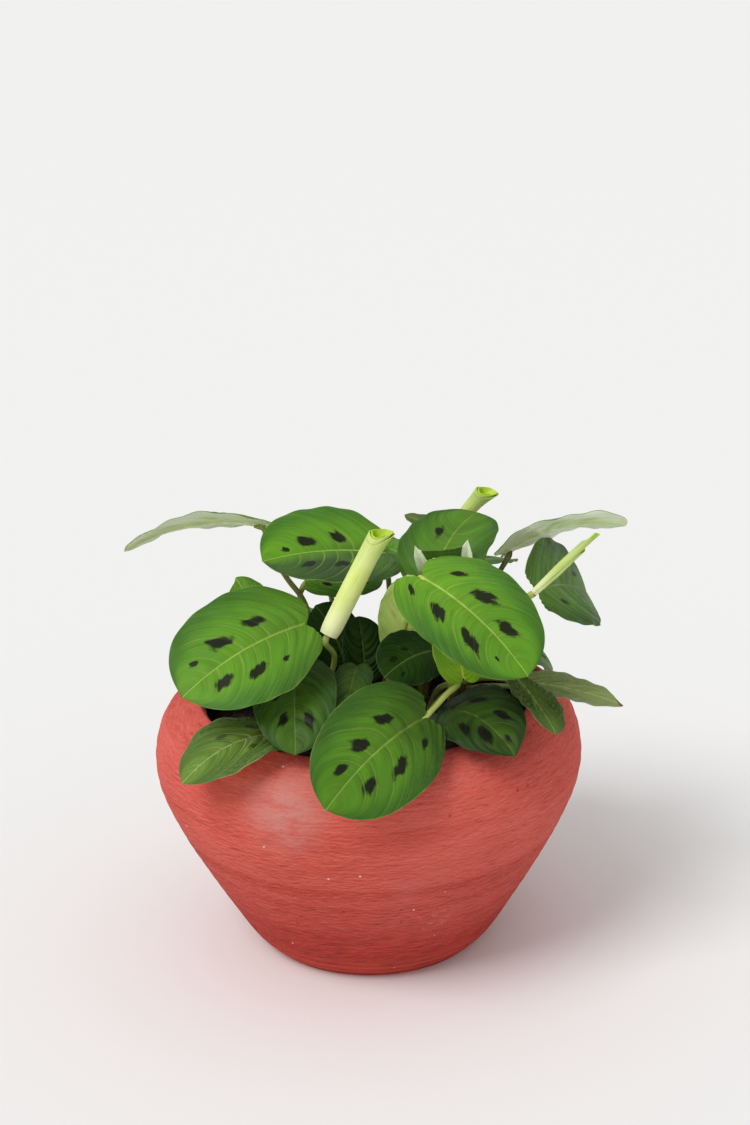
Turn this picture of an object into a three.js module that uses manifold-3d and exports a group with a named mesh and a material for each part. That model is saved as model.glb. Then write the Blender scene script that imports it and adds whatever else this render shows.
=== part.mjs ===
// A prayer plant in a thrown clay pot: a bowl-shaped pot, its soil, nine leafy stems and their leaves.
// Millimetres, +Z up. The origin is the centre of the pot's foot, on the surface that it stands on.
// +X is the plant's right and -Y its front.
import * as THREE from 'three';
import { mergeVertices } from 'three/addons/utils/BufferGeometryUtils.js';
import Module from 'manifold-3d';

const wasm = await Module();
wasm.setup();

// The pot: a foot, a wide belly and a lip that rolls inwards.
const FOOT_RADIUS = 70;
const BELLY_RADIUS = 135;
const BELLY_HEIGHT = 126;
const RIM_RADIUS = 109;
const RIM_HEIGHT = 165;
const WALL = 9;
const FLOOR = 11;
const POT_SIDES = 40;
const LIP_STEP = 5;
const LIP_DROP = 2;
const MOUTH_STEP = 7;
const MOUTH_DROP = 7;
const FLOOR_ROUND = 6;

// The gap left between pieces that touch.
const PLAY = 0.3;

// The soil lies below the lip, in low lumps.
const SOIL_HEIGHT = 140;
const SOIL_DOME = 7;
const SOIL_LUMP = 1.6;
const SOIL_RINGS = [0.84, 0.62, 0.4, 0.2];

// Stems and leaf stalks.
const SHOOT_RADIUS = 3.6;
const SHOOT_FOOT = 122;
const SHOOT_SIDES = 8;
const STALK_RADIUS = 1.6;
const STALK_ROOT = 12;
const STALK_END = 6;
const STALK_SIDES = 5;
const STALK_STEPS = 8;
const SHEATH_RADIUS = 2.5;
const SHEATH_SHARES = [0, 0.13, 0.26, 0.39];

// Blades.
const BLADE_THICKNESS = 0.8;
const RIB_DEPTH = 1.1;
const LOBE = 0.09;
const OVAL_START = 0.045;
const OVAL_POWER = 2.3;
const WIDEST = 0.9;
const BLADE_ROWS = [0, 0.09, 0.22, 0.38, 0.55, 0.71, 0.84, 0.93, 0.98, 1];
const BLADE_COLUMNS = [-1, -0.62, -0.28, 0, 0.28, 0.62, 1];

// New leaves, still rolled up.
const ROLL_WALL = 0.9;
const ROLL_SIDES = 12;

const clay = new THREE.MeshStandardMaterial({ color: 0xc4544a, roughness: 0.75, metalness: 0 });
const earth = new THREE.MeshStandardMaterial({ color: 0x2b2019, roughness: 0.95, metalness: 0 });
const stalkGreen = new THREE.MeshStandardMaterial({ color: 0x7a8a3c, roughness: 0.5, metalness: 0 });
const leafGreen = new THREE.MeshStandardMaterial({ color: 0x3f8a2e, roughness: 0.45, metalness: 0 });
const shadeGreen = new THREE.MeshStandardMaterial({ color: 0x1f5a26, roughness: 0.45, metalness: 0 });
const youngGreen = new THREE.MeshStandardMaterial({ color: 0xc6dc6a, roughness: 0.45, metalness: 0 });

const plant = new THREE.Group();

function addMesh(name, geometry, material) {
  const mesh = new THREE.Mesh(geometry, material);
  mesh.name = name;
  plant.add(mesh);
}

// The pot's outer side from its foot to the crown of its lip, as radius and height.
function potOutline() {
  const side = new THREE.SplineCurve([
    new THREE.Vector2(FOOT_RADIUS, 0),
    new THREE.Vector2(81.5, 12),
    new THREE.Vector2(96, 36),
    new THREE.Vector2(109.5, 60),
    new THREE.Vector2(122, 84),
    new THREE.Vector2(132, 108),
    new THREE.Vector2(BELLY_RADIUS, BELLY_HEIGHT),
    new THREE.Vector2(132, 144),
    new THREE.Vector2(124.5, 156),
    new THREE.Vector2(RIM_RADIUS, RIM_HEIGHT),
  ]);
  return side.getPoints(14);
}

// The pot, turned in one piece: foot, side, lip, inner wall and floor.
function potGeometry() {
  const outer = potOutline();
  const lip = new THREE.Vector2(RIM_RADIUS - LIP_STEP, RIM_HEIGHT - LIP_DROP);
  const mouth = new THREE.Vector2(RIM_RADIUS - MOUTH_STEP, RIM_HEIGHT - MOUTH_DROP);
  const inner = innerOutline();
  const profile = [
    new THREE.Vector2(0, 0),
    ...outer,
    lip,
    mouth,
    ...inner,
    new THREE.Vector2(0, FLOOR),
  ];
  const geometry = new THREE.LatheGeometry(profile, POT_SIDES);
  geometry.rotateX(Math.PI / 2);
  return geometry;
}

// The inner wall, from under the lip down to the floor: the outer side moved in by the wall's thickness.
function innerOutline() {
  const outer = potOutline();
  const points = [];
  for (let i = outer.length - 3; i > 1; i -= 1) {
    const run = outer[i + 1].clone().sub(outer[i - 1]).normalize();
    const point = new THREE.Vector2(outer[i].x - WALL * run.y, outer[i].y + WALL * run.x);
    if (point.y > FLOOR + 2) {
      points.push(point);
    }
  }
  points.push(new THREE.Vector2(points[points.length - 1].x - FLOOR_ROUND, FLOOR));
  return points;
}

function solidOf(geometry) {
  const bare = geometry.clone();
  bare.deleteAttribute('normal');
  bare.deleteAttribute('uv');
  const merged = mergeVertices(bare, 1e-3);
  return new wasm.Manifold(new wasm.Mesh({
    numProp: 3,
    vertProperties: new Float32Array(merged.attributes.position.array),
    triVerts: new Uint32Array(merged.index.array),
  }));
}

function geometryOf(solid) {
  const mesh = solid.getMesh();
  const geometry = new THREE.BufferGeometry();
  geometry.setAttribute('position', new THREE.BufferAttribute(new Float32Array(mesh.vertProperties), 3));
  geometry.setIndex(new THREE.BufferAttribute(new Uint32Array(mesh.triVerts), 1));
  geometry.computeVertexNormals();
  return geometry;
}

// A round bar of the given radius along a curve.
function bar(curve, radius, sides, steps) {
  const section = new THREE.Shape();
  for (let i = 0; i < sides; i += 1) {
    const angle = (2 * Math.PI * i) / sides;
    const place = [radius * Math.cos(angle), radius * Math.sin(angle)];
    if (i === 0) {
      section.moveTo(...place);
    } else {
      section.lineTo(...place);
    }
  }
  section.closePath();
  return new THREE.ExtrudeGeometry(section, { steps, bevelEnabled: false, extrudePath: curve });
}

// An upright round bar, for a shoot and for the hole that it stands in.
function upright(x, y, low, high, radius) {
  const line = new THREE.LineCurve3(new THREE.Vector3(x, y, low), new THREE.Vector3(x, y, high));
  return bar(line, radius, SHOOT_SIDES, 1);
}

// The leafy stems: where each stands in the soil, and how high its shoot is.
const STEMS = {
  left: { at: [-42, -12], top: 160 },
  front_left: { at: [-26, -34], top: 158 },
  front: { at: [4, -40], top: 156 },
  front_right: { at: [34, -38], top: 158 },
  right: { at: [54, -4], top: 162 },
  middle: { at: [12, -8], top: 164 },
  back_left: { at: [-36, 24], top: 160 },
  back: { at: [-2, 34], top: 158 },
  back_right: { at: [36, 30], top: 160 },
};

// Each blade: the ends of its midrib, its width, its roll about the midrib, how far the midrib arches,
// how far its halves fold up in degrees, its edge wave, and the stalk's way to it from its stem.
const LEAVES = [
  { name: 'leaf_high_left', stem: 'back_left', base: [-66, 12, 273], tip: [-148, 5, 260],
    width: 50, roll: 27, arch: 8, fold: 6, wave: 1.5,
    by: [[-37, 18, 215], [-49, 17, 236], [-60, 16, 257]] },
  { name: 'leaf_upper_left', stem: 'middle', base: [12, 14, 251], tip: [-61, -24, 261],
    width: 66, roll: -28, arch: 4, fold: 14, wave: 1 },
  { name: 'leaf_large_left', stem: 'left', base: [-37, -60, 233], tip: [-107, -103, 206],
    width: 79, roll: -30, arch: 6, fold: 4, wave: 1 },
  { name: 'leaf_behind_left', stem: 'left', base: [-66, -38, 224], tip: [-77, -24, 253],
    width: 28, roll: -25, arch: 3, fold: 6, wave: 1 },
  { name: 'leaf_low_left', stem: 'front_left', base: [-43, -56, 206], tip: [-42, -117, 174],
    width: 50, roll: 0, arch: 6, fold: 6, wave: 1 },
  { name: 'leaf_rim_left', stem: 'front_left', base: [-44, -78, 169], tip: [-109, -114, 156],
    width: 51, roll: -6, arch: 11, fold: 4, wave: 2, widest: 1.1 },
  { name: 'leaf_rim_front', stem: 'front_right', base: [32, -104, 189], tip: [-24, -173, 165],
    width: 69, roll: -50, arch: 6, fold: 4, wave: 1.5,
    by: [[44, -44, 182], [55, -63, 193], [47, -86, 196]] },
  { name: 'leaf_large_right', stem: 'front', base: [37, -56, 258], tip: [94, -106, 215],
    width: 69, roll: 22, arch: 6, fold: 4, wave: 1,
    by: [[10, -34, 170], [20, -35, 205], [27, -40, 232], [33, -47, 251]] },
  { name: 'leaf_upper_right', stem: 'right', base: [42, -20, 243], tip: [72, 18, 275],
    width: 64, roll: 0, arch: 8, fold: 6, wave: 1, by: [[55, -10, 200], [50, -20, 226]] },
  { name: 'leaf_high_right', stem: 'right', base: [91, 16, 250], tip: [163, 14, 265],
    width: 48, roll: -32, arch: 8, fold: 6, wave: 1.5, widest: 1.3 },
  { name: 'leaf_small_right', stem: 'right', base: [106, -36, 242], tip: [142, 34, 214],
    width: 64, roll: 53, arch: 4, fold: 12, wave: 1, widest: 1.25 },
  { name: 'leaf_young', stem: 'front_right', base: [58, -62, 198], tip: [48, -40, 239],
    width: 36, roll: 0, arch: 3, fold: 16, wave: 1, young: true },
  { name: 'leaf_small_front', stem: 'front', base: [39, -43, 207], tip: [11, -73, 203],
    width: 38, roll: -38, arch: 3, fold: 6, wave: 0.5, shade: true },
  { name: 'leaf_folded', stem: 'front', base: [-1, -18, 182], tip: [-4, 4, 213],
    width: 28, roll: 10, arch: 3, fold: 20, wave: 1, shade: true },
  { name: 'leaf_shaded', stem: 'left', base: [-14, 2, 183], tip: [-31, 12, 218],
    width: 34, roll: -50, arch: 3, fold: 8, wave: 1, shade: true },
  { name: 'leaf_upright', stem: 'middle', base: [24, -22, 198], tip: [27, -34, 256],
    width: 33, roll: 0, arch: 3, fold: 6, wave: 1 },
  { name: 'leaf_rim_right', stem: 'front_right', base: [44, -56, 172], tip: [86, -114, 168],
    width: 58, roll: 14, arch: 11, fold: 4, wave: 1.5, widest: 0.75 },
  { name: 'leaf_drooping', stem: 'right', base: [90, -48, 191], tip: [111, -97, 174],
    width: 30, roll: -20, arch: 3, fold: 10, wave: 1.5 },
  { name: 'leaf_side_right', stem: 'right', base: [103, -22, 175.5], tip: [157, -40, 167],
    width: 27, roll: 12, arch: 2, fold: 8, wave: 1, widest: 0.7 },
  { name: 'leaf_narrow', stem: 'front', base: [-6, -42, 197], tip: [-13, -98, 182],
    width: 25, roll: 0, arch: 4, fold: 10, wave: 1 },
  { name: 'leaf_middle_left', stem: 'back_left', base: [-35, 22, 232], tip: [12, 50, 223],
    width: 36, roll: 40, arch: 3, fold: 6, wave: 1 },
  { name: 'leaf_middle_back', stem: 'back', base: [28, 40, 239], tip: [-14, 84, 236],
    width: 36, roll: 0, arch: 3, fold: 6, wave: 1 },
  { name: 'leaf_upper_back', stem: 'back_right', base: [62, 46, 238], tip: [27, 57, 262],
    width: 24, roll: 0, arch: 3, fold: 6, wave: 1, by: [[50, 34, 214], [64, 41, 229]] },
  { name: 'leaf_back_left', stem: 'back_left', base: [-44, 38, 192], tip: [-84, 104, 174],
    width: 56, roll: 0, arch: 7, fold: 5, wave: 1.5 },
  { name: 'leaf_back', stem: 'back', base: [24, 58, 170], tip: [38, 134, 158],
    width: 42, roll: 0, arch: 8, fold: 5, wave: 1.5 },
  { name: 'leaf_back_right', stem: 'back_right', base: [54, 50, 186], tip: [84, 120, 168],
    width: 56, roll: 0, arch: 9, fold: 5, wave: 1.5 },
  { name: 'leaf_far_right', stem: 'back_right', base: [66, 16, 191], tip: [121, 39, 159.5],
    width: 44, roll: 20, arch: 8, fold: 5, wave: 1.5 },
  { name: 'leaf_far_left', stem: 'back_left', base: [-60, 6, 188], tip: [-122, 30, 170],
    width: 52, roll: 0, arch: 8, fold: 5, wave: 1.5 },
  { name: 'leaf_high_back_right', stem: 'back_right', base: [56, 52, 226], tip: [90, 108, 210],
    width: 54, roll: 0, arch: 6, fold: 5, wave: 1.5 },
  { name: 'leaf_high_back_left', stem: 'back', base: [-24, 58, 246], tip: [-44, 112, 236],
    width: 50, roll: 0, arch: 5, fold: 5, wave: 1.5, by: [[-14, 42, 180], [-22, 46, 214]] },
  { name: 'leaf_low_back_left', stem: 'back_left', base: [-66, 44, 168], tip: [-122, 84, 156],
    width: 50, roll: 0, arch: 9, fold: 5, wave: 2 },
  { name: 'leaf_low_back', stem: 'back', base: [-16, 58, 168], tip: [-24, 126, 157],
    width: 50, roll: 0, arch: 7, fold: 5, wave: 1.5 },
  { name: 'leaf_low_back_right', stem: 'back_right', base: [70, 56, 164], tip: [104, 102, 157],
    width: 44, roll: 0, arch: 7, fold: 5, wave: 2 },
];

const vector = (point) => new THREE.Vector3(...point);
const radians = (degrees) => THREE.MathUtils.degToRad(degrees);

// Half the blade's width along the midrib, as a share: an oval, widest before its middle,
// cut off a little past its start so that the base is broad and heart-shaped.
function halfWidth(u, widest) {
  const place = OVAL_START + (1 - OVAL_START) * u ** widest;
  return Math.sqrt(Math.max(0, 1 - Math.abs(2 * place - 1) ** OVAL_POWER));
}

// The midrib: its point at u, its direction there, and the way that the blade's upper face looks.
function midrib(leaf, u) {
  const base = vector(leaf.base);
  const chord = vector(leaf.tip).sub(base);
  const along = chord.clone().normalize();
  const rise = new THREE.Vector3(0, 0, 1).addScaledVector(along, -along.z).normalize();
  const point = base.addScaledVector(chord, u).addScaledVector(rise, 4 * leaf.arch * u * (1 - u));
  const run = chord.clone().addScaledVector(rise, 4 * leaf.arch * (1 - 2 * u)).normalize();
  const face = rise.clone().addScaledVector(run, -rise.dot(run)).normalize();
  face.applyAxisAngle(run, radians(leaf.roll));
  return { point, run, face, length: chord.length() };
}

// A point of the blade's middle surface: u runs from base to tip and v from the left edge to the right.
function bladePoint(leaf, u, v) {
  const { point, run, face, length } = midrib(leaf, u);
  const side = run.clone().cross(face);
  const share = halfWidth(u, leaf.widest ?? WIDEST);
  const half = 0.5 * leaf.width * share;
  const ripple = leaf.wave * v * v * Math.sin(9 * u + 2.2 * v + leaf.width) * share;
  const lift = Math.tan(radians(leaf.fold)) * half * Math.abs(v) * (1 - 0.3 * Math.abs(v)) + ripple;
  point.addScaledVector(run, -LOBE * length * (1 - u) ** 2 * v * v);
  point.addScaledVector(side, half * v);
  point.addScaledVector(face, lift);
  return point;
}

// The way that the blade's upper face looks at u, v.
function bladeNormal(leaf, u, v) {
  const step = 0.01;
  const right = bladePoint(leaf, u, Math.min(1, v + step));
  const across = right.sub(bladePoint(leaf, u, Math.max(-1, v - step)));
  const ahead = bladePoint(leaf, Math.min(1, u + step), v);
  const along = ahead.sub(bladePoint(leaf, Math.max(0, u - step), v));
  return across.cross(along).normalize();
}

// A closed blade: two faces with the same triangles, a wall round the edge, and a rib under the midrib.
function bladeGeometry(leaf) {
  const positions = [];
  const faces = [[], []];
  BLADE_ROWS.forEach((u, row) => {
    const atTip = u === 1;
    faces.forEach((face) => face.push([]));
    BLADE_COLUMNS.forEach((v) => {
      const reused = atTip && faces[0][row].length > 0;
      if (!reused) {
        const point = bladePoint(leaf, u, atTip ? 0 : v);
        const normal = bladeNormal(leaf, Math.min(u, 0.97), atTip ? 0 : v);
        const rib = v === 0 ? RIB_DEPTH * (1 - 0.8 * u) : 0;
        positions.push(point.clone().addScaledVector(normal, BLADE_THICKNESS / 2));
        positions.push(point.clone().addScaledVector(normal, -BLADE_THICKNESS / 2 - rib));
      }
      faces[0][row].push(positions.length - 2);
      faces[1][row].push(positions.length - 1);
    });
  });
  const triangles = [];
  // All of the tip's columns share one point, so a triangle there that has no area is left out.
  const addTriangle = (a, b, c) => {
    if (a !== b && b !== c && c !== a) {
      triangles.push(a, b, c);
    }
  };
  const [top, under] = faces;
  const rows = BLADE_ROWS.length - 1;
  const columns = BLADE_COLUMNS.length - 1;
  for (let i = 0; i < rows; i += 1) {
    for (let j = 0; j < columns; j += 1) {
      addTriangle(top[i][j], top[i][j + 1], top[i + 1][j + 1]);
      addTriangle(top[i][j], top[i + 1][j + 1], top[i + 1][j]);
      addTriangle(under[i][j], under[i + 1][j + 1], under[i][j + 1]);
      addTriangle(under[i][j], under[i + 1][j], under[i + 1][j + 1]);
    }
    addTriangle(top[i][0], top[i + 1][0], under[i + 1][0]);
    addTriangle(top[i][0], under[i + 1][0], under[i][0]);
    addTriangle(top[i][columns], under[i + 1][columns], top[i + 1][columns]);
    addTriangle(top[i][columns], under[i][columns], under[i + 1][columns]);
  }
  for (let j = 0; j < columns; j += 1) {
    addTriangle(top[0][j], under[0][j + 1], top[0][j + 1]);
    addTriangle(top[0][j], under[0][j], under[0][j + 1]);
  }
  const geometry = new THREE.BufferGeometry();
  const flat = new Float32Array(positions.flatMap((point) => point.toArray()));
  geometry.setAttribute('position', new THREE.BufferAttribute(flat, 3));
  geometry.setIndex(triangles);
  geometry.computeVertexNormals();
  return geometry;
}

// New leaves, still rolled up: the ends of each roll and its radius at the foot, the middle and the mouth.
const ROLLS = [
  { name: 'rolled_leaf_front', stem: 'front_left', base: [-22, -52, 223], tip: [14, -36, 290],
    radii: [6.8, 7.4, 5.6], slant: 8, by: [[-23, -40, 185], [-19, -46, 207]] },
  { name: 'rolled_leaf_top', stem: 'back_right', base: [50, 30, 254], tip: [82, 30, 291],
    radii: [4.2, 5.2, 5.8], slant: 6 },
  { name: 'rolled_leaf_right', stem: 'right', base: [101, -58, 249], tip: [140, -58, 287],
    radii: [3, 3.4, 2.2], slant: 3 },
];

// A roll is a turned, open-mouthed tube, its mouth cut on the slant, laid along its two ends.
function rollGeometry(roll) {
  const base = vector(roll.base);
  const chord = vector(roll.tip).sub(base);
  const length = chord.length();
  const [foot, middle, mouth] = roll.radii;
  const profile = [
    new THREE.Vector2(0, 0),
    new THREE.Vector2(0.8 * foot, 0),
    new THREE.Vector2(foot, 0.12 * length),
    new THREE.Vector2(middle, 0.5 * length),
    new THREE.Vector2(0.5 * (middle + mouth), 0.8 * length),
    new THREE.Vector2(mouth, length - roll.slant),
    new THREE.Vector2(mouth - ROLL_WALL, length - roll.slant),
    new THREE.Vector2(0.5 * (middle + mouth) - ROLL_WALL, 0.8 * length),
    new THREE.Vector2(0, 0.62 * length),
  ];
  const geometry = new THREE.LatheGeometry(profile, ROLL_SIDES);
  geometry.rotateX(Math.PI / 2);
  const place = geometry.attributes.position;
  for (let i = 0; i < place.count; i += 1) {
    const nearMouth = Math.max(0, (place.getZ(i) - 0.75 * length) / (0.25 * length));
    place.setZ(i, place.getZ(i) + (roll.slant * nearMouth * place.getX(i)) / mouth);
  }
  const turn = new THREE.Quaternion().setFromUnitVectors(new THREE.Vector3(0, 0, 1), chord.normalize());
  geometry.applyQuaternion(turn);
  geometry.translate(base.x, base.y, base.z);
  return geometry;
}

// A leaf's stalk leaves the shoot upwards and bends into line with the blade's midrib.
function stalkCurve(leaf, stem) {
  const start = new THREE.Vector3(...stem.at, stem.top - STALK_ROOT);
  const base = vector(leaf.base);
  const chord = vector(leaf.tip).sub(base);
  const run = leaf.rolled ? chord.normalize() : midrib(leaf, 0).run;
  const end = base.clone().addScaledVector(run, -2 * PLAY);
  if (leaf.by) {
    const before = end.clone().addScaledVector(run, -STALK_END);
    return new THREE.CatmullRomCurve3([start, ...leaf.by.map(vector), before, end], false, 'centripetal');
  }
  const reach = start.distanceTo(end);
  const first = start.clone().add(new THREE.Vector3(0, 0, 0.45 * reach));
  const second = end.clone().addScaledVector(run, -0.25 * reach);
  return new THREE.CubicBezierCurve3(start, first, second, end);
}

// A leafy stem: the shoot, its leaf stalks, and the sheath round the foot of each stalk.
function stemSolid(key) {
  const stem = STEMS[key];
  let solid = solidOf(upright(...stem.at, SHOOT_FOOT, stem.top, SHOOT_RADIUS));
  const leaves = [...LEAVES, ...ROLLS.map((roll) => ({ ...roll, rolled: true }))];
  leaves.filter((leaf) => leaf.stem === key).forEach((leaf) => {
    const curve = stalkCurve(leaf, stem);
    solid = solid.add(solidOf(bar(curve, STALK_RADIUS, STALK_SIDES, STALK_STEPS)));
    const sheath = new THREE.CatmullRomCurve3(SHEATH_SHARES.map((t) => curve.getPointAt(t)));
    solid = solid.add(solidOf(bar(sheath, SHEATH_RADIUS, STALK_SIDES, SHEATH_SHARES.length - 1)));
  });
  return solid;
}

// The soil fills the pot to below its lip, with low lumps on top and a plain hole for each stem.
function soilSolid() {
  const wall = innerOutline().reverse();
  const edge = wall.filter((point) => point.y < SOIL_HEIGHT);
  const outer = edge.map((point) => new THREE.Vector2(point.x - PLAY, Math.max(point.y, FLOOR + PLAY)));
  const last = outer[outer.length - 1];
  const profile = [
    new THREE.Vector2(0, FLOOR + PLAY),
    ...outer,
    ...SOIL_RINGS.map((share) => new THREE.Vector2(share * last.x, SOIL_HEIGHT + SOIL_DOME * (1 - share))),
    new THREE.Vector2(0, SOIL_HEIGHT + SOIL_DOME),
  ];
  const geometry = new THREE.LatheGeometry(profile, POT_SIDES);
  const place = geometry.attributes.position;
  for (let i = 0; i < place.count; i += 1) {
    const height = place.getY(i);
    if (height > SOIL_HEIGHT) {
      const x = place.getX(i);
      const y = place.getZ(i);
      place.setY(i, height + SOIL_LUMP * Math.sin(0.19 * x + 1) * Math.cos(0.23 * y));
    }
  }
  geometry.rotateX(Math.PI / 2);
  let solid = solidOf(geometry);
  Object.values(STEMS).forEach((stem) => {
    const hole = upright(...stem.at, SHOOT_FOOT - PLAY, RIM_HEIGHT, SHOOT_RADIUS + PLAY);
    solid = solid.subtract(solidOf(hole));
  });
  return solid;
}

addMesh('pot', potGeometry(), clay);
addMesh('soil', geometryOf(soilSolid()), earth);
Object.keys(STEMS).forEach((key) => {
  addMesh(`stem_${key}`, geometryOf(stemSolid(key)), stalkGreen);
});
LEAVES.forEach((leaf) => {
  let material = leafGreen;
  if (leaf.shade) {
    material = shadeGreen;
  }
  if (leaf.young) {
    material = youngGreen;
  }
  addMesh(leaf.name, bladeGeometry(leaf), material);
});
ROLLS.forEach((roll) => {
  addMesh(roll.name, rollGeometry(roll), youngGreen);
});

export default plant;
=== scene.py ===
"""A prayer plant in a thrown clay pot, with its soil, nine leafy stems, their leaves and three rolled
leaves. The tables below are in millimetres and degrees. +X is the plant's right, -Y its front and +Z up."""
import math

import bpy
import numpy as np
from mathutils import Matrix


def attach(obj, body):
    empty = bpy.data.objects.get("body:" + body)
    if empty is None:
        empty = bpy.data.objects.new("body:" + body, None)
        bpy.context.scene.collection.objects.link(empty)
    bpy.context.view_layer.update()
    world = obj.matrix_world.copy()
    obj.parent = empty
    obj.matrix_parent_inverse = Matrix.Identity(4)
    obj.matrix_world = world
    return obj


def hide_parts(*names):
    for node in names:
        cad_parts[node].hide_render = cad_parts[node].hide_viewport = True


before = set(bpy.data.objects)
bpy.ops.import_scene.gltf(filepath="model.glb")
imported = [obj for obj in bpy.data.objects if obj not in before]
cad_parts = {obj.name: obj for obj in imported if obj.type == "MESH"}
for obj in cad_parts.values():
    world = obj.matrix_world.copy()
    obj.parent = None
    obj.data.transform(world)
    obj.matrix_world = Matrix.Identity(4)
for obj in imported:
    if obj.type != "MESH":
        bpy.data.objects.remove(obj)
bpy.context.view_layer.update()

# The pot. Red clay thrown on a wheel and fired without a glaze: a foot, a wide belly and a lip that rolls
# inwards. The thrower's fingers leave faint lines round it, and time leaves a pale bloom, a few white specks
# and scratches by the foot. Its colour also holds a painted highlight on the left shoulder, painted light
# and shade along its grain, and painted shade that deepens the red towards the foot.
POT_SIDE = [(70, 0), (81.5, 12), (96, 36), (109.5, 60), (122, 84), (132, 108), (135, 126), (132, 144),
            (124.5, 156), (109, 165), (104, 163), (102, 158)]
POT_WALL = 9
POT_FLOOR = 11
POT_TURNS = 180
SIDE_STEPS = 14
CROWN_ROW = 9 * SIDE_STEPS


def cubic_through(points, leave, arrive, steps):
    """A curve through all the points. Each span is the cubic that leaves its first point and arrives at its
    last with the given slopes."""
    start, end, leave, arrive = points[:-1, None], points[1:, None], leave[:, None], arrive[:, None]
    t = np.linspace(0, 1, steps, endpoint=False)[None, :, None]
    spans = ((2 * (start - end) + leave + arrive) * t ** 3
             + (3 * (end - start) - 2 * leave - arrive) * t ** 2 + leave * t + start)
    return np.vstack([spans.reshape(-1, points.shape[1]), points[-1:]])


def smooth_through(points, steps):
    """A curve through all the points, whose slope at each is half the step between its two neighbours."""
    points = np.asarray(points, float)
    before, after = np.vstack([points[:1], points[:-2]]), np.vstack([points[2:], points[-1:]])
    return cubic_through(points, (points[1:] - before) / 2, (after - points[:-1]) / 2, steps)


def unit(rows):
    """Each row divided by its length."""
    return rows / np.linalg.norm(rows, axis=-1, keepdims=True)


def faces_of(grid):
    """Two triangles for each square of a grid of point numbers, but for those whose corners meet."""
    a, b, c, d = grid[:-1, :-1], grid[:-1, 1:], grid[1:, 1:], grid[1:, :-1]
    faces = np.concatenate([np.stack([a, b, c], -1).reshape(-1, 3), np.stack([a, c, d], -1).reshape(-1, 3)])
    open_ones = (faces[:, 0] != faces[:, 1]) & (faces[:, 1] != faces[:, 2]) & (faces[:, 2] != faces[:, 0])
    return faces[open_ones]


def facing_out(points, faces):
    """The faces, turned round if the sum of the shell's corner tetrahedra is below nothing."""
    a, b, c = points[faces[:, 0]], points[faces[:, 1]], points[faces[:, 2]]
    return faces if np.sum(a * np.cross(b, c)) > 0 else faces[:, ::-1]


def closed_tube(rings, first, last):
    """The points and faces of a tube of rings that is closed by a fan to a first and to a last point."""
    sides, count = rings.shape[1], rings.shape[0] * rings.shape[1]
    points = np.vstack([rings.reshape(-1, 3), first, last])
    grid = np.vstack([np.full(sides, count), np.arange(count).reshape(-1, sides), np.full(sides, count + 1)])
    return points, facing_out(points, faces_of(np.hstack([grid, grid[:, :1]])))


def turned_shell(profile, turns, swell):
    """A profile of radius and height, turned round the upright axis on which its ends lie. Its points are
    radius * (cos angle, sin angle) and height, after swell has changed radius and height."""
    angle = np.linspace(0, 2 * math.pi, turns, endpoint=False)
    radius, height = swell(*np.broadcast_arrays(profile[1:-1, :1], profile[1:-1, 1:], angle))
    rings = np.stack([radius * np.cos(angle), radius * np.sin(angle), height], -1)
    return closed_tube(rings, (0, 0, profile[0, 1]), (0, 0, profile[-1, 1]))


def stand_in(name, content):
    """A new object in the scene."""
    made = bpy.data.objects.new(name, content)
    bpy.context.scene.collection.objects.link(made)
    return made


def make_piece(name, points, faces, finishes, finish_of_face=None, flat_map=None, measures=None, sharp=40):
    """A new object at the origin, from points in millimetres and triangles. flat_map gives each point its
    place on a flat drawing of the piece, and measures are numbers that each point carries."""
    mesh = bpy.data.meshes.new(name)
    mesh.vertices.add(len(points))
    mesh.vertices.foreach_set("co", (points * 0.001).astype(np.float32).ravel())
    mesh.loops.add(faces.size)
    mesh.loops.foreach_set("vertex_index", faces.astype(np.int32).ravel())
    mesh.polygons.add(len(faces))
    mesh.polygons.foreach_set("loop_start", np.arange(0, faces.size, 3, dtype=np.int32))
    mesh.update(calc_edges=True)
    for finish in finishes:
        mesh.materials.append(finish)
    if finish_of_face is not None:
        mesh.polygons.foreach_set("material_index", finish_of_face.astype(np.int32))
    if flat_map is not None:
        drawing = mesh.uv_layers.new(name="UVMap")
        drawing.data.foreach_set("uv", flat_map[faces.ravel()].astype(np.float32).ravel())
    for title, values in (measures or {}).items():
        layer = mesh.attributes.new(title, "FLOAT", "POINT")
        layer.data.foreach_set("value", values.astype(np.float32).ravel())
    mesh.shade_smooth()
    mesh.set_sharp_from_angle(angle=math.radians(sharp))
    mesh.validate()
    piece = stand_in(name, mesh)
    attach(piece, "root")
    return piece


def paint(red, green, blue):
    """A colour given in 0 to 255 as it looks on a screen, as amounts of light."""
    share = np.array([red, green, blue]) / 255
    light = np.where(share <= 0.04045, share / 12.92, ((share + 0.055) / 1.055) ** 2.4)
    return (*light.tolist(), 1.0)


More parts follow.
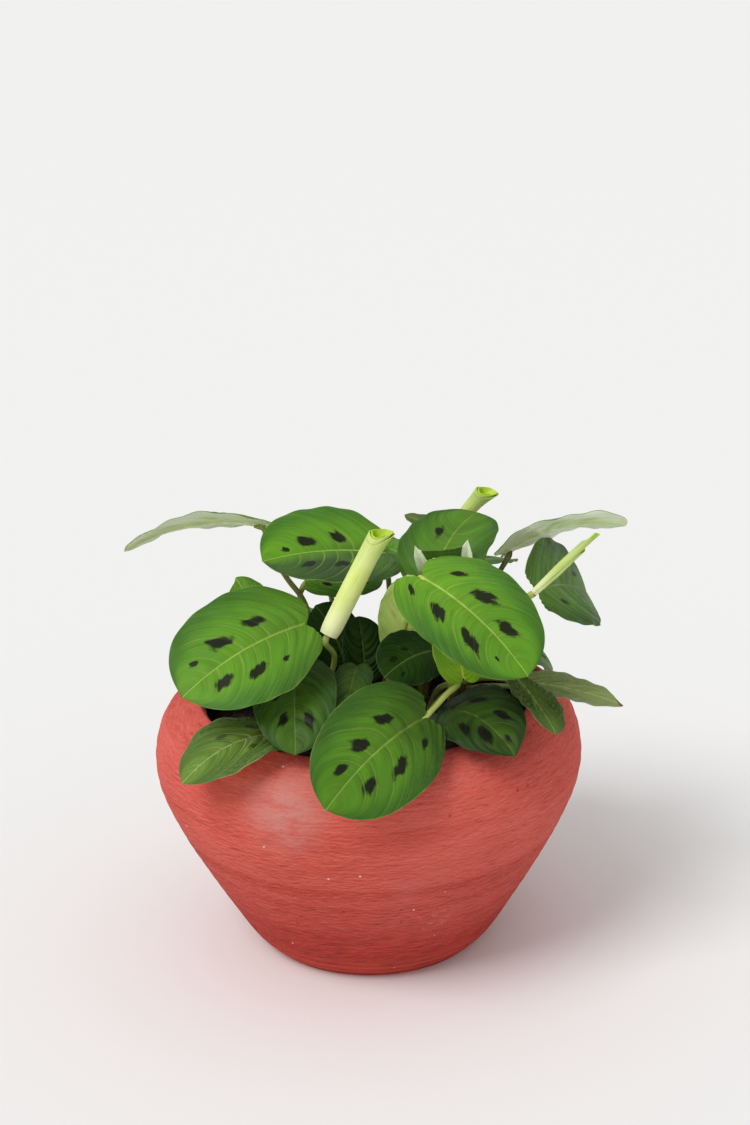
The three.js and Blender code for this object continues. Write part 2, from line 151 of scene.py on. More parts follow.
class Term:
    """A number, colour or place that a material works out. It adds, subtracts and multiplies."""

    def __init__(self, tree, socket):
        self.tree, self.socket = tree, socket

    def result(self, operation, *others):
        """The result of one operation on this term and others."""
        made = add_node(self.tree, "ShaderNodeMath", {"operation": operation})
        for socket, term in zip(made.inputs, (self, *others)):
            feed(socket, term)
        return Term(self.tree, made.outputs[0])

    def __add__(self, other):
        return self.result("ADD", other)

    def __sub__(self, other):
        return self.result("SUBTRACT", other)

    def __rsub__(self, other):
        return self.result("MULTIPLY_ADD", -1.0, other)

    def __mul__(self, other):
        return self.result("MULTIPLY", other)

    def step(self, low, high, first=0.0, last=1.0):
        """first below low, last above high, and an easy slope between."""
        made = add_node(self.tree, "ShaderNodeMapRange", {"interpolation_type": "SMOOTHSTEP"}, Value=self,
                        From_Min=low, From_Max=high, To_Min=first, To_Max=last)
        return Term(self.tree, made.outputs["Result"])

    def part(self, axis):
        """One of a place's three numbers."""
        return Term(self.tree, add_node(self.tree, "ShaderNodeSeparateXYZ", Vector=self).outputs[axis])

    def clouds(self, size, detail=3.0, rough=0.5, stretch=(1, 1, 1), shift=(0, 0, 0)):
        """Soft noise between 0 and 1 over a place, with size features to a unit, pulled out by stretch."""
        laid = add_node(self.tree, "ShaderNodeMapping", Vector=self, Scale=stretch, Location=shift)
        made = add_node(self.tree, "ShaderNodeTexNoise", Vector=Term(self.tree, laid.outputs[0]), Scale=size,
                        Detail=detail, Roughness=rough)
        return Term(self.tree, made.outputs["Fac"])

    def crumbs(self, size):
        """Cells over a place, with size to a unit: how far it is from the nearest one's middle, and two
        numbers between 0 and 1 that each cell has by chance."""
        cells = add_node(self.tree, "ShaderNodeTexVoronoi", Vector=self, Scale=size)
        chance = add_node(self.tree, "ShaderNodeSeparateColor", Color=Term(self.tree, cells.outputs["Color"]))
        return [Term(self.tree, output) for output in (cells.outputs["Distance"], *chance.outputs[:2])]

    def near(self, centre, radius):
        """1 at a centre given in millimetres, falling to 0 at the radius."""
        gap = add_node(self.tree, "ShaderNodeVectorMath", {"operation": "DISTANCE"})
        feed(gap.inputs[0], self)
        feed(gap.inputs[1], tuple(0.001 * part for part in centre))
        return Term(self.tree, gap.outputs["Value"]).step(0.0, 0.001 * radius, 1.0, 0.0)


def feed(socket, value):
    """A term or a plain value goes into a socket."""
    if isinstance(value, Term):
        value.tree.links.new(value.socket, socket)
    else:
        socket.default_value = value


def add_node(tree, kind, settings=None, **sockets):
    """One node. settings are its own fields. Each socket, its spaces written as _, gets a term or a
    value."""
    made = tree.nodes.new(kind)
    for field, value in (settings or {}).items():
        setattr(made, field, value)
    for title, value in sockets.items():
        feed(made.inputs[title.replace("_", " ")], value)
    return made


def placed(tree, way):
    """Where a point lies, in space with way "Object" and on the piece's flat drawing with way "UV"."""
    return Term(tree, add_node(tree, "ShaderNodeTexCoord").outputs[way])


def carried(tree, title):
    """A number that each point of the piece carries."""
    return Term(tree, add_node(tree, "ShaderNodeAttribute", {"attribute_name": title}).outputs["Fac"])


def layered(base, *coats):
    """A base colour with coats laid over it. Each coat is a share and a colour. A colour is a term, or its
    red, green and blue from 0 to 255."""
    for share, coat in coats:
        made = add_node(share.tree, "ShaderNodeMix", {"data_type": "RGBA"})
        for number, term in ((0, share), (6, base), (7, coat)):
            feed(made.inputs[number], paint(*term) if isinstance(term, tuple) else term)
        base = Term(share.tree, made.outputs[2])
    return base


def new_finish(name, specular):
    """A material with one plain shader, the material's tree and the shader's sockets."""
    finish = bpy.data.materials.new(name)
    finish.use_nodes = True
    sockets = finish.node_tree.nodes["Principled BSDF"].inputs
    sockets["Specular IOR Level"].default_value = specular
    return finish, finish.node_tree, sockets


def cover(sockets, colour, relief, strength, depth, roughness):
    """A shader's colour and roughness, and its relief: strength times a depth in metres."""
    bump = add_node(relief.tree, "ShaderNodeBump", Strength=strength, Distance=depth, Height=relief)
    feed(sockets["Base Color"], colour)
    feed(sockets["Normal"], Term(relief.tree, bump.outputs[0]))
    feed(sockets["Roughness"], roughness)


def fired_clay():
    """Salmon-red clay: clouds of a deeper and a paler red, level lines, bands and strokes, a leathery grain
    whose ridges carry painted highlights on one side and painted shade on the other, pale chalky patches, a
    painted highlight on the left shoulder, a foot in painted shade with rings round it, scratches, specks and
    pits."""
    finish, tree, sockets = new_finish("fired clay", 0.18)
    place = placed(tree, "Object")
    height = place.part("Z")
    clouds = place.clouds(9, 4, 0.55)
    lines = place.clouds(1, 5, 0.6, (7, 7, 210))
    bands = place.clouds(1, 2, 0.5, (2.5, 2.5, 62), (0.1, 0.6, 0))
    strokes = place.clouds(1, 6, 0.7, (80, 80, 560))
    grain = place.clouds(1, 4, 0.6, (180, 180, 620), (0.4, 0.2, 0.9))
    # Painted highlight and shade: the grain less the same grain moved a little upwards, laid on as lighter
    # and darker red along its ridges.
    painted_ridge_light = grain - place.clouds(1, 4, 0.6, (180, 180, 620), (0.4, 0.2, 1.25))
    painted_ridge_share = height.step(0.05, 0.15, 0.44, 0.2)
    ragged = place.clouds(42, 6, 0.7, (1, 1, 2.2), (0.3, 0.1, 0.5))
    # A painted highlight: a soft pale patch at one fixed place on the left shoulder, with a ragged edge.
    painted_shoulder_highlight = place.near((-49, -122, 140), 38) * ragged.step(0.34, 0.6, 0.35, 1)
    wide_bloom = place.clouds(13, 5, 0.65, shift=(0.7, 0, 0)).step(0.5, 0.75) * ragged.step(0.4, 0.7)
    # Painted shade: towards the foot the red is drawn deeper and darker.
    painted_foot_shade = layered((140, 24, 16), (strokes.step(0.38, 0.62), (184, 46, 34)))
    rings = (height * 1150.0 + lines * 3.0).result("SINE").step(-0.9, 0.9)
    rings = rings * height.step(0.006, 0.024, 1.0, 0.0)
    scratched = place.near((36, -101, 57), 22) * place.clouds(1, 5, 0.75, (150, 150, 420)).step(0.54, 0.6)
    chip_gap, speck_chance, pit_chance = place.crumbs(160.0)
    speck = speck_chance.result("GREATER_THAN", 0.97) * chip_gap.step(0.07, 0.15, 1.0, 0.0)
    pit = pit_chance.result("GREATER_THAN", 0.955) * chip_gap.step(0.08, 0.2, 1.0, 0.0)
    colour = layered(
        (208, 84, 72), (clouds.step(0.3, 0.72), (226, 104, 92)),
        (lines.step(0.5, 0.78, 0, 0.35), (224, 116, 106)), (lines.step(0.46, 0.2, 0, 0.35), (178, 58, 52)),
        (bands.step(0.52, 0.3, 0, 0.45), (172, 48, 38)),
        (strokes.step(0.5, 0.74, 0, 0.4), (232, 124, 108)), (strokes.step(0.49, 0.26, 0, 0.6), (164, 44, 38)),
        (painted_ridge_light.step(0.01, 0.13) * painted_ridge_share, (240, 138, 120)),
        (painted_ridge_light.step(-0.01, -0.13) * painted_ridge_share, (150, 36, 30)),
        (painted_shoulder_highlight * 0.85, (206, 144, 134)), (wide_bloom * 0.3, (214, 138, 126)),
        (height.step(0.0, 0.12, 0.72, 0.0), painted_foot_shade), (rings * 0.7, (208, 84, 68)),
        (scratched * 0.5, (228, 150, 138)), (speck * 0.85, (240, 222, 212)), (pit * 0.45, (140, 38, 34)))
    relief = (strokes * 0.8 + place.clouds(900, 2, 0.6) * 0.2 + grain * height.step(0.05, 0.15, 1.6, 0.8)
              + lines * 0.4 + rings - pit * 0.8)
    cover(sockets, colour, relief, 0.8, 0.0014, clouds.step(0.2, 0.8, 0.74, 0.88))
    return finish


def thrown(radius, height, angle):
    """The wheel's traces: the radius swells and sinks by less than half a millimetre with height, in lines
    that climb a little round the pot, and the pot is out of round by as much. Nothing changes inside the
    mouth."""
    outside = np.clip((radius - 90) / 20, 0, 1) * np.clip(height / 20, 0, 1)
    outside = outside * (np.arange(len(radius))[:, None] <= CROWN_ROW)
    lines = 0.16 * np.sin(0.78 * height + angle / 3) + 0.1 * np.sin(1.9 * height - angle / 2 + 1)
    return radius + outside * (lines + 0.3 * np.cos(2 * angle + 0.6)), height


outer_side = smooth_through(POT_SIDE, SIDE_STEPS)
slope = unit(np.gradient(outer_side, axis=0))
inner_side = (outer_side + POT_WALL * np.stack([-slope[:, 1], slope[:, 0]], 1))[6:CROWN_ROW - 1][::-1]
inner_side = inner_side[inner_side[:, 1] > POT_FLOOR + 2]
inner_foot = [(inner_side[-1, 0] - 2, POT_FLOOR + 0.8), (inner_side[-1, 0] - 6, POT_FLOOR), (0, POT_FLOOR)]
pot_profile = np.vstack([[(0, 0), (66, 0)], outer_side, inner_side, inner_foot])
pot = make_piece("clay_pot", *turned_shell(pot_profile, POT_TURNS, thrown), [fired_clay()], sharp=50)
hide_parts("pot")

# The soil. Dark peat potting mix, pressed in loosely to below the lip, with crumbs and small lumps on top.
SOIL_HEIGHT = 140
SOIL_DOME = 7
SOIL_ROWS = 90
SOIL_TURNS = 200
GAP = 0.3


def lumps(x, y):
    """Long low lumps with shorter ones on them: sines across three slanting directions, multiplied in
    pairs."""
    broad = 1.6 * np.sin(0.19 * x + 1) * np.cos(0.23 * y)
    middle = 0.7 * np.sin(0.61 * x + 0.35 * y) * np.sin(0.47 * y - 0.52 * x + 2)
    small = 0.45 * np.sin(1.7 * x - 0.9 * y + 1) * np.sin(1.5 * y + 1.2 * x)
    return broad + middle + small + 0.3 * np.sin(3.1 * x + 1) * np.sin(2.9 * y)


def damp_peat():
    """Nearly black brown, with paler crumbs and a few short fibres, and no shine."""
    finish, tree, sockets = new_finish("damp peat", 0.25)
    place = placed(tree, "Object")
    gap, shade = place.crumbs(330.0)[:2]
    fibre = place.clouds(1, 4, 0.6, (420, 90, 200)).step(0.66, 0.74)
    colour = layered((24, 19, 15), (shade, (52, 41, 32)), (fibre * 0.6, (96, 76, 56)))
    cover(sockets, colour, place.clouds(500, 4, 0.7) - gap, 0.8, 0.002, shade.step(0, 1, 0.88, 1.0))
    return finish


def heaped(radius, height, angle):
    """The top of the soil rises and falls with the lumps, and its wall and bottom stay plain."""
    on_top = height > SOIL_HEIGHT - 1
    fade = np.clip((np.max(radius) - radius) / 4, 0.15, 1)
    return radius, height + on_top * fade * lumps(radius * np.cos(angle), radius * np.sin(angle))


soil_wall = inner_side[::-1][inner_side[::-1, 1] < SOIL_HEIGHT] - (GAP, 0)
soil_edge = soil_wall[-1, 0]
share = np.linspace(1, 0, SOIL_ROWS)
soil_top = np.stack([soil_edge * share, SOIL_HEIGHT + SOIL_DOME * (1 - share)], 1)
soil_foot = [(0, POT_FLOOR + GAP), (soil_wall[0, 0] - 6, POT_FLOOR + GAP)]
soil_profile = np.vstack([soil_foot, soil_wall, soil_top])
soil = make_piece("potting_soil", *turned_shell(soil_profile, SOIL_TURNS, heaped), [damp_peat()])
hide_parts("soil")

# The leafy stems. Each comes out of the soil as a short upright shoot and sends up a round, wiry stalk for
# every leaf. A thin sheath wraps a stalk's foot, and a small swollen joint carries the blade.
STEMS = {"left": ((-42, -12), 160), "front_left": ((-26, -34), 158), "front": ((4, -40), 156),
         "front_right": ((34, -38), 158), "right": ((54, -4), 162), "middle": ((12, -8), 164),
         "back_left": ((-36, 24), 160), "back": ((-2, 34), 158), "back_right": ((36, 30), 160)}
SHOOT_FOOT = 122
SHOOT_RADIUS = 3.6
STALK_RADIUS = 1.75
STALK_SUNK = 12
SHEATH_SHARE = 0.39
STALK_ROWS = 44
SPAN_STEPS = 24
CURVE_STEPS = 160
STALK_SIDES = 16
SHOOT_ROWS = SHOOT_SIDES = SHEATH_SIDES = 24
SHEATH_ROWS = 26
USUAL_LEAF = dict(by=(), widest=0.9, look="green", under="grey", tone=0.0, shade=0.0, sheen=0.0, stalk=0.6,
                  blotches=(), plain=False, point=10.0, pleat=1.0, ruffle=0.6, slant=1.0, lobes=(1.0, 1.0),
                  skew=0.0, slim=0.0)
USUAL_ROLL = dict(by=(), edge=-150, tight=0.03, wrap_drop=0.04, share=0.955)


def placed_leaf(name, stem, base, tip):
    """A leaf's name, the stem that carries it, and where it begins and ends."""
    return {"name": name, "stem": stem, "base": np.array(base, float), "tip": np.array(tip, float)}


def leaf_shape(name, stem, base, tip, width, roll, arch, fold, wave, **own):
    """One leaf: the stem that carries it, the ends of its midrib, its width, its roll about the midrib, the
    rise of its arch, the fold of its halves and its edge wave. Its own values differ from the usual leaf's:
    the points that its stalk goes by, the power that moves its widest place, its colouring above and below,
    how light it is, partly by its own colour and partly by painted light and shade, how much painted shade
    darkens it near the base, with painted light there where that is below nothing, how much painted grey
    shade lies on its lower half, how yellow its stalk is, its blotches as shares of length and half-width
    and a size, or plain for none, how blunt its point is, the depth of its pleats and edge ruffles, the slant
    of its side veins, how far its two lobes reach back, how much its end is skewed, and how much one half is
    slimmer near the base."""
    return {**USUAL_LEAF, **placed_leaf(name, stem, base, tip), "width": width, "roll": math.radians(roll),
            "arch": arch, "fold": math.radians(fold), "wave": wave, **own}


def roll_shape(name, stem, base, tip, radii, right_lift, front_dip, flare, stalk, green, **own):
    """One rolled leaf: the ends of its axis, its radius at foot, middle and mouth, the slant, dip and flare
    of its mouth, and how yellow its stalk and how green it is. Its own values differ from the usual roll's:
    where its outer edge lies, how tightly it is wound, how far the outer turn ends lower, and its share of
    the length."""
    return {**USUAL_ROLL, **placed_leaf(name, stem, base, tip), "radii": radii, "right_lift": right_lift,
            "front_dip": front_dip, "flare": flare, "stalk": stalk, "green": green, **own}


# High leaves, at the top of the plant. Those in front face forwards, the two at the far sides are seen
# nearly edge on, and the ones at the back look the other way.
HIGH_LEAVES = [
    leaf_shape("leaf_high_left", "back_left", (-66, 12, 273), (-148, 5, 260), 50, 27, 8, 6, 1.5, tone=0.12,
               by=[(-37, 18, 215), (-49, 17, 236), (-60, 16, 257)], stalk=0.5),
    leaf_shape("leaf_upper_left", "middle", (12, 14, 251), (-61, -24, 261), 66, -28, 4, 14, 1, stalk=0.25,
               tone=0.25, point=16.0, sheen=0.95, pleat=1.6,
               blotches=[(0.38, 0.28, 0.85), (0.62, 0.24, 0.9), (0.8, 0.16, 0.4), (0.7, -0.42, 0.7),
                         (0.46, -0.47, 0.75), (0.22, -0.42, 0.6)]),
    leaf_shape("leaf_large_left", "left", (-37, -60, 233), (-107, -103, 206), 79, -30, 6, 4, 1, stalk=0.4,
               tone=-0.08, shade=0.35, lobes=(0.6, 1.0), slim=0.13, pleat=1.6,
               blotches=[(0.33, 0.35, 0.85), (0.58, 0.31, 1.15), (0.79, 0.35, 0.5), (0.73, -0.32, 0.95),
                         (0.5, -0.45, 1.0), (0.29, -0.51, 0.45)]),
    leaf_shape("leaf_large_right", "front", (37, -56, 258), (94, -106, 215), 69, 22, 6, 4, 1, stalk=0.95,
               tone=-0.16, shade=-0.6, lobes=(1.0, 1.45), pleat=1.2,
               by=[(10, -34, 170), (20, -35, 205), (27, -40, 232), (33, -47, 251)],
               blotches=[(0.2, -0.47, 0.7), (0.42, -0.38, 1.15), (0.67, -0.26, 1.0), (0.1, 0.47, 0.5),
                         (0.33, 0.44, 0.95), (0.61, 0.46, 1.1), (0.8, 0.36, 0.25)]),
    leaf_shape("leaf_upper_right", "right", (42, -20, 243), (72, 18, 275), 64, 0, 8, 6, 1, tone=-0.6,
               pleat=1.6, by=[(55, -10, 200), (50, -20, 226)], blotches=[(0.56, -0.3, 0.75)]),
    leaf_shape("leaf_high_right", "right", (91, 16, 250), (163, 14, 265), 48, -32, 8, 6, 1.5, tone=0.3,
               widest=1.3, stalk=0.2, point=16.0, skew=9.0),
    leaf_shape("leaf_small_right", "right", (106, -36, 242), (142, 34, 214), 64, 53, 4, 12, 1, widest=1.25,
               tone=-0.8, stalk=0.2, pleat=1.3,
               blotches=[(0.49, -0.41, 0.55), (0.78, -0.31, 0.5), (0.29, 0.44, 0.6), (0.66, 0.28, 0.5)]),
    leaf_shape("leaf_behind_left", "left", (-66, -38, 224), (-78, -25, 251), 26, -25, 3, 6, 1, tone=-0.25,
               plain=True, point=5.5, skew=4.0),
    leaf_shape("leaf_upright", "middle", (24, -22, 198), (27, -34, 253.5), 33, 0, 3, 6, 1, tone=0.3,
               shade=0.8, under="yellow"),
    leaf_shape("leaf_middle_left", "back_left", (-35, 22, 232), (12, 50, 223), 36, 40, 3, 6, 1, tone=-0.2),
    leaf_shape("leaf_middle_back", "back", (28, 40, 239), (-14, 84, 236), 36, 0, 3, 6, 1, tone=-0.1),
    leaf_shape("leaf_upper_back", "back_right", (62, 46, 238), (27, 57, 262), 24, 0, 3, 6, 1,
               by=[(50, 34, 214), (64, 41, 229)], look="grey", tone=-0.5, plain=True),
    leaf_shape("leaf_high_back_right", "back_right", (56, 52, 226), (90, 108, 210), 54, 0, 6, 5, 1.5,
               tone=-0.4),
    leaf_shape("leaf_high_back_left", "back", (-24, 58, 246), (-44, 112, 236), 50, 0, 5, 5, 1.5, tone=0.1,
               by=[(-14, 42, 180), (-22, 46, 214)]),
]

# Low leaves, that hang over the lip all round. The ones on the right are narrow and dull, and one at the
# left is creased.
RIM_LEAVES = [
    leaf_shape("leaf_low_left", "front_left", (-43, -56, 206), (-42, -117, 174), 50, 0, 6, 6, 1, stalk=0.5,
               tone=-1.15, pleat=1.8, shade=0.4,
               blotches=[(0.7, 0.3, 0.75), (0.47, 0.42, 0.5), (0.7, -0.37, 0.8)]),
    leaf_shape("leaf_rim_left", "front_left", (-44, -78, 169), (-109, -114, 156), 51, -6, 11, 4, 2,
               widest=1.1, look="grey", tone=0.3, shade=0.6, stalk=0.3, pleat=3.6, point=11.0, ruffle=0.5,
               slant=1.4, blotches=[(0.3, 0.4, 0.6), (0.55, 0.35, 0.45), (0.45, -0.45, 0.5)]),
    leaf_shape("leaf_rim_front", "front_right", (32, -104, 189), (-24, -173, 165), 69, -50, 6, 4, 1.5,
               stalk=0.9, tone=-0.4, shade=0.9, by=[(44, -44, 182), (55, -63, 193), (47, -86, 196)],
               pleat=2.4,
               blotches=[(0.32, 0.36, 0.9), (0.55, 0.27, 1.0), (0.75, 0.26, 0.65), (0.68, -0.35, 1.0),
                         (0.43, -0.45, 1.05), (0.18, -0.44, 0.6)]),
    leaf_shape("leaf_rim_right", "front_right", (44, -56, 172), (86, -114, 168), 58, 14, 11, 4, 1.5,
               widest=0.75, stalk=0.4, tone=-1.5, shade=0.3, pleat=1.7, point=5.0,
               blotches=[(0.35, -0.42, 0.95), (0.64, -0.44, 0.85), (0.55, 0.46, 0.9), (0.73, 0.3, 0.9),
                         (0.85, -0.2, 0.4)]),
    leaf_shape("leaf_drooping", "right", (90, -48, 191), (111, -97, 174), 30, -20, 3, 10, 1.5, widest=1.2,
               point=16.0, look="grey", tone=-0.35, plain=True, pleat=3.2, slant=2.6),
    leaf_shape("leaf_side_right", "right", (103, -22, 175.5), (157, -40, 167), 27, 12, 2, 8, 1, widest=0.7,
               look="sage", plain=True, pleat=2.2, point=4.2, slant=2.6, skew=7.0),
    leaf_shape("leaf_far_right", "back_right", (66, 16, 191), (121, 39, 159.5), 44, 20, 8, 5, 1.5,
               tone=-0.7),
    leaf_shape("leaf_far_left", "back_left", (-60, 6, 188), (-122, 30, 170), 52, 0, 8, 5, 1.5, tone=0.1),
    leaf_shape("leaf_back_left", "back_left", (-44, 38, 192), (-84, 104, 174), 56, 0, 7, 5, 1.5),
    leaf_shape("leaf_back", "back", (24, 58, 170), (38, 134, 158), 42, 0, 8, 5, 1.5, tone=-0.1),
    leaf_shape("leaf_back_right", "back_right", (54, 50, 186), (84, 120, 168), 56, 0, 9, 5, 1.5, tone=0.05),
    leaf_shape("leaf_low_back_left", "back_left", (-66, 44, 168), (-122, 84, 156), 50, 0, 9, 5, 2,
               tone=-0.1),
    leaf_shape("leaf_low_back", "back", (-16, 58, 168), (-24, 126, 157), 50, 0, 7, 5, 1.5, tone=0.1),
    leaf_shape("leaf_low_back_right", "back_right", (70, 56, 164), (104, 102, 157), 44, 0, 7, 5, 2),
]

# Small leaves between the others: a young yellow-green one, and dark ones low in the middle, drawn in
# painted shade, one of them half folded. The new leaves that are still rolled up follow them, because the
# stems carry them too.
SMALL_LEAVES = [
    leaf_shape("leaf_young", "front_right", (58, -62, 198), (48, -40, 239), 36, 0, 3, 16, 1, look="young",
               stalk=1.0),
    leaf_shape("leaf_small_front", "front", (39, -43, 207), (11, -73, 203), 38, -38, 3, 6, 0.5, look="deep",
               stalk=0.5, blotches=[(0.45, 0.34, 0.35), (0.7, 0.28, 0.4), (0.75, -0.39, 0.35)]),
    leaf_shape("leaf_folded", "front", (-1, -18, 182), (-4, 4, 213), 28, 10, 3, 20, 1, look="deep",
               stalk=0.3, pleat=3.0, plain=True),
    leaf_shape("leaf_shaded", "left", (-14, 2, 183), (-31, 12, 218), 34, -50, 3, 8, 1, look="deep",
               tone=-0.3, plain=True),
    leaf_shape("leaf_narrow", "front", (-6, -42, 197), (-13, -98, 182), 25, 0, 4, 10, 1, tone=-1.4,
               stalk=0.4, plain=True),
]
OPEN_LEAVES = HIGH_LEAVES + RIM_LEAVES + SMALL_LEAVES
ROLLED_LEAVES = [
    roll_shape("rolled_leaf_front", "front_left", (-22, -52, 223), (14, -36, 290), (7.1, 7.4, 6.8), 3.5,
               7.5, 3.0, stalk=0.75, green=0.1, by=[(-23, -40, 185), (-19, -46, 207)]),
    roll_shape("rolled_leaf_top", "back_right", (50, 30, 254), (82, 30, 291), (4.2, 5.0, 6.4), 3.8, 4.5,
               2.5, stalk=0.9, green=0.45),
    roll_shape("rolled_leaf_right", "right", (101, -58, 249), (140, -58, 287), (3.0, 3.9, 3.4), 2.8, 0.0,
               0.5, stalk=0.8, green=0.55, edge=-40, tight=0.075, wrap_drop=0.33, share=1.0),
]


def midrib(leaf, u):
    """The midrib's points, its direction and the way the blade faces, for shares u of its length. It runs
    straight from base to tip and rises over that line by 4 * arch * u * (1 - u); the face is then rolled
    about it."""
    chord = leaf["tip"] - leaf["base"]
    along = unit(chord)
    rise = unit(np.array([0, 0, 1.0]) - along * along[2])
    u = u[..., None]
    point = leaf["base"] + chord * u + rise * 4 * leaf["arch"] * u * (1 - u)
    run = unit(chord + rise * 4 * leaf["arch"] * (1 - 2 * u))
    face = unit(rise - run * (run @ rise)[..., None])
    face = face * math.cos(leaf["roll"]) + np.cross(run, face) * math.sin(leaf["roll"])
    return point, run, face


def bent_through(points, steps):
    """A springy wire through all the points. Its slope at a point weighs the steps on both sides by the
    square roots of their lengths, so that a long step doesn't swing it out of a short one."""
    points = np.asarray(points, float)
    whole = np.vstack([2 * points[:1] - points[1:2], points, 2 * points[-1:] - points[-2:-1]])
    gap = np.sqrt(np.linalg.norm(np.diff(whole, axis=0), axis=1))[:, None]
    step = np.diff(whole, axis=0) / gap
    slope = step[:-1] - (whole[2:] - whole[:-2]) / (gap[1:] + gap[:-1]) + step[1:]
    return cubic_through(points, slope[:-1] * gap[1:-1], slope[1:] * gap[1:-1], steps)


def evenly(path, rows):
    """The same path with its points at equal steps along it."""
    walked = np.concatenate([[0], np.cumsum(np.linalg.norm(np.diff(path, axis=0), axis=1))])
    places = np.linspace(0, walked[-1], rows)
    return np.stack([np.interp(places, walked, path[:, axis]) for axis in range(3)], 1)


def stalk_path(leaf):
    """From deep inside the shoot upwards, and round into line with the midrib or the roll: through the
    given points, or by a curve with one pull up from the shoot and one back and down from the blade."""
    place, top = STEMS[leaf["stem"]]
    start = np.array([*place, top - STALK_SUNK])
    run, below = unit(leaf["tip"] - leaf["base"]), np.zeros(3)
    if "radii" not in leaf:
        run, face = (rows[0] for rows in midrib(leaf, np.zeros(1))[1:])
        below = face * 1.3
    end = leaf["base"] + run * 1.5 - below
    if leaf["by"]:
        return evenly(bent_through([start, *leaf["by"], end - run * 6, end], SPAN_STEPS), STALK_ROWS)
    reach = np.linalg.norm(end - start)
    first = start + np.array([0, 0, 0.45 * reach])
    second = end - run * 0.19 * reach - below * 0.08 * reach
    t = np.linspace(0, 1, CURVE_STEPS)[:, None]
    curve = (1 - t) ** 3 * start + 3 * (1 - t) ** 2 * t * first + 3 * (1 - t) * t ** 2 * second + t ** 3 * end
    return evenly(curve, STALK_ROWS)


def round_bar(path, radius, sides):
    """A closed bar along a path. Each ring stands square to the path and is laid out from one direction,
    square to the plane that the path bends in; radius is given for each ring, or for each ring and side."""
    ahead = unit(np.gradient(path, axis=0))
    across = np.cross(path[-1] - path[0], [0, 0, 1.0])
    across = np.array([1.0, 0, 0]) if np.linalg.norm(across) < 1 else across
    side = unit(across - ahead * (ahead @ across)[:, None])
    other = np.cross(ahead, side)
    round_it = np.linspace(0, 1, sides, endpoint=False)
    angle = 2 * math.pi * round_it[:, None]
    outwards = side[:, None] * np.cos(angle) + other[:, None] * np.sin(angle)
    rings = path[:, None] + radius.reshape(len(path), -1, 1) * outwards
    flat = np.stack(np.meshgrid(np.linspace(0, 1, len(path)), round_it, indexing="ij"), -1).reshape(-1, 2)
    return *closed_tube(rings, path[0], path[-1]), np.vstack([flat, [[0, 0.5], [1, 0.5]]])


def put_together(parts):
    """Several parts' points, faces, flat maps and measures as one, with the point numbers moved on."""
    starts = np.cumsum([0] + [len(part[0]) for part in parts[:-1]])
    faces = np.vstack([part[1] + start for part, start in zip(parts, starts)])
    measures = {title: np.concatenate([part[3][title] for part in parts]) for title in parts[0][3]}
    return np.vstack([part[0] for part in parts]), faces, np.vstack([part[2] for part in parts]), measures


def stalk_parts(leaf):
    """A leaf's stalk, thinnest in its middle and swollen just under the blade, and the sheath round its
    foot, whose edge laps over itself down one side. Their paleness runs from 0, dark and brownish, to 1,
    pale yellow-green; the dark low parts are partly the stalks' own colour and partly painted shade."""
    path = stalk_path(leaf)
    length = np.sum(np.linalg.norm(np.diff(path, axis=0), axis=1))
    share = np.linspace(0, 1, len(path))
    to_blade = (1 - share) * length
    joint = np.exp(-((to_blade - 5) / 3.2) ** 2)
    radius = (STALK_RADIUS * (1.12 - 0.2 * share) + 0.5 * joint) * np.clip(to_blade / 1.5, 0.55, 1)
    paleness_and_painted_shade = np.append(np.repeat(leaf["stalk"] * (0.55 + 0.45 * share) + 0.25 * joint, STALK_SIDES), [0, 1])
    reach = evenly(path[:int(round(SHEATH_SHARE * (len(path) - 1))) + 1], SHEATH_ROWS)
    down = np.linspace(0, 1, len(reach))[:, None]
    round_it = np.linspace(0, 1, SHEATH_SIDES, endpoint=False)
    lap = 0.55 * (round_it - 0.5) * (1 - down ** 4) + 0.12 * np.sin(9 * round_it * math.pi)
    wrap = (2.75 - 0.85 * down ** 2 + lap) * (1 - 0.3 * np.clip((down - 0.9) / 0.1, 0, 1))
    points, faces, flat = round_bar(reach, wrap, SHEATH_SIDES)
    sheath_paleness_and_shade = np.append(np.repeat(0.12 + 0.35 * leaf["stalk"] * down, SHEATH_SIDES), [0.1, 0.3])
    return [(*round_bar(path, radius, STALK_SIDES), {"paleness_and_painted_shade": paleness_and_painted_shade}),
            (points, faces, flat * (0.4, 1), {"paleness_and_painted_shade": sheath_paleness_and_shade})]


def stalk_skin():
    """From brownish green at the foot, partly the stalk's own colour and partly painted shade, to
    yellow-green, in fine lengthwise streaks, with a waxy shine.
    """
    finish, tree, sockets = new_finish("leaf stalk", 0.45)
    streak = placed(tree, "UV").clouds(1, 4, 0.6, (3, 22, 1))
    patch = placed(tree, "Object").clouds(60, 3, 0.5)
    ramp = add_node(tree, "ShaderNodeValToRGB", Fac=carried(tree, "paleness_and_painted_shade") + (patch - 0.5) * 0.35)
    stops = ramp.color_ramp.elements
    stops[0].color, stops[1].color = paint(74, 62, 38), paint(190, 200, 104)
    stops.new(0.3).color = paint(92, 92, 46)
    stops.new(0.65).color = paint(134, 148, 62)
    colour = layered(Term(tree, ramp.outputs[0]), (streak.step(0.45, 0.75, 0, 0.4), (176, 186, 110)),
                     (streak.step(0.42, 0.25, 0, 0.35), (70, 66, 34)))
    cover(sockets, colour, streak, 0.3, 0.0004, patch.step(0.2, 0.8, 0.36, 0.5))
    return finish


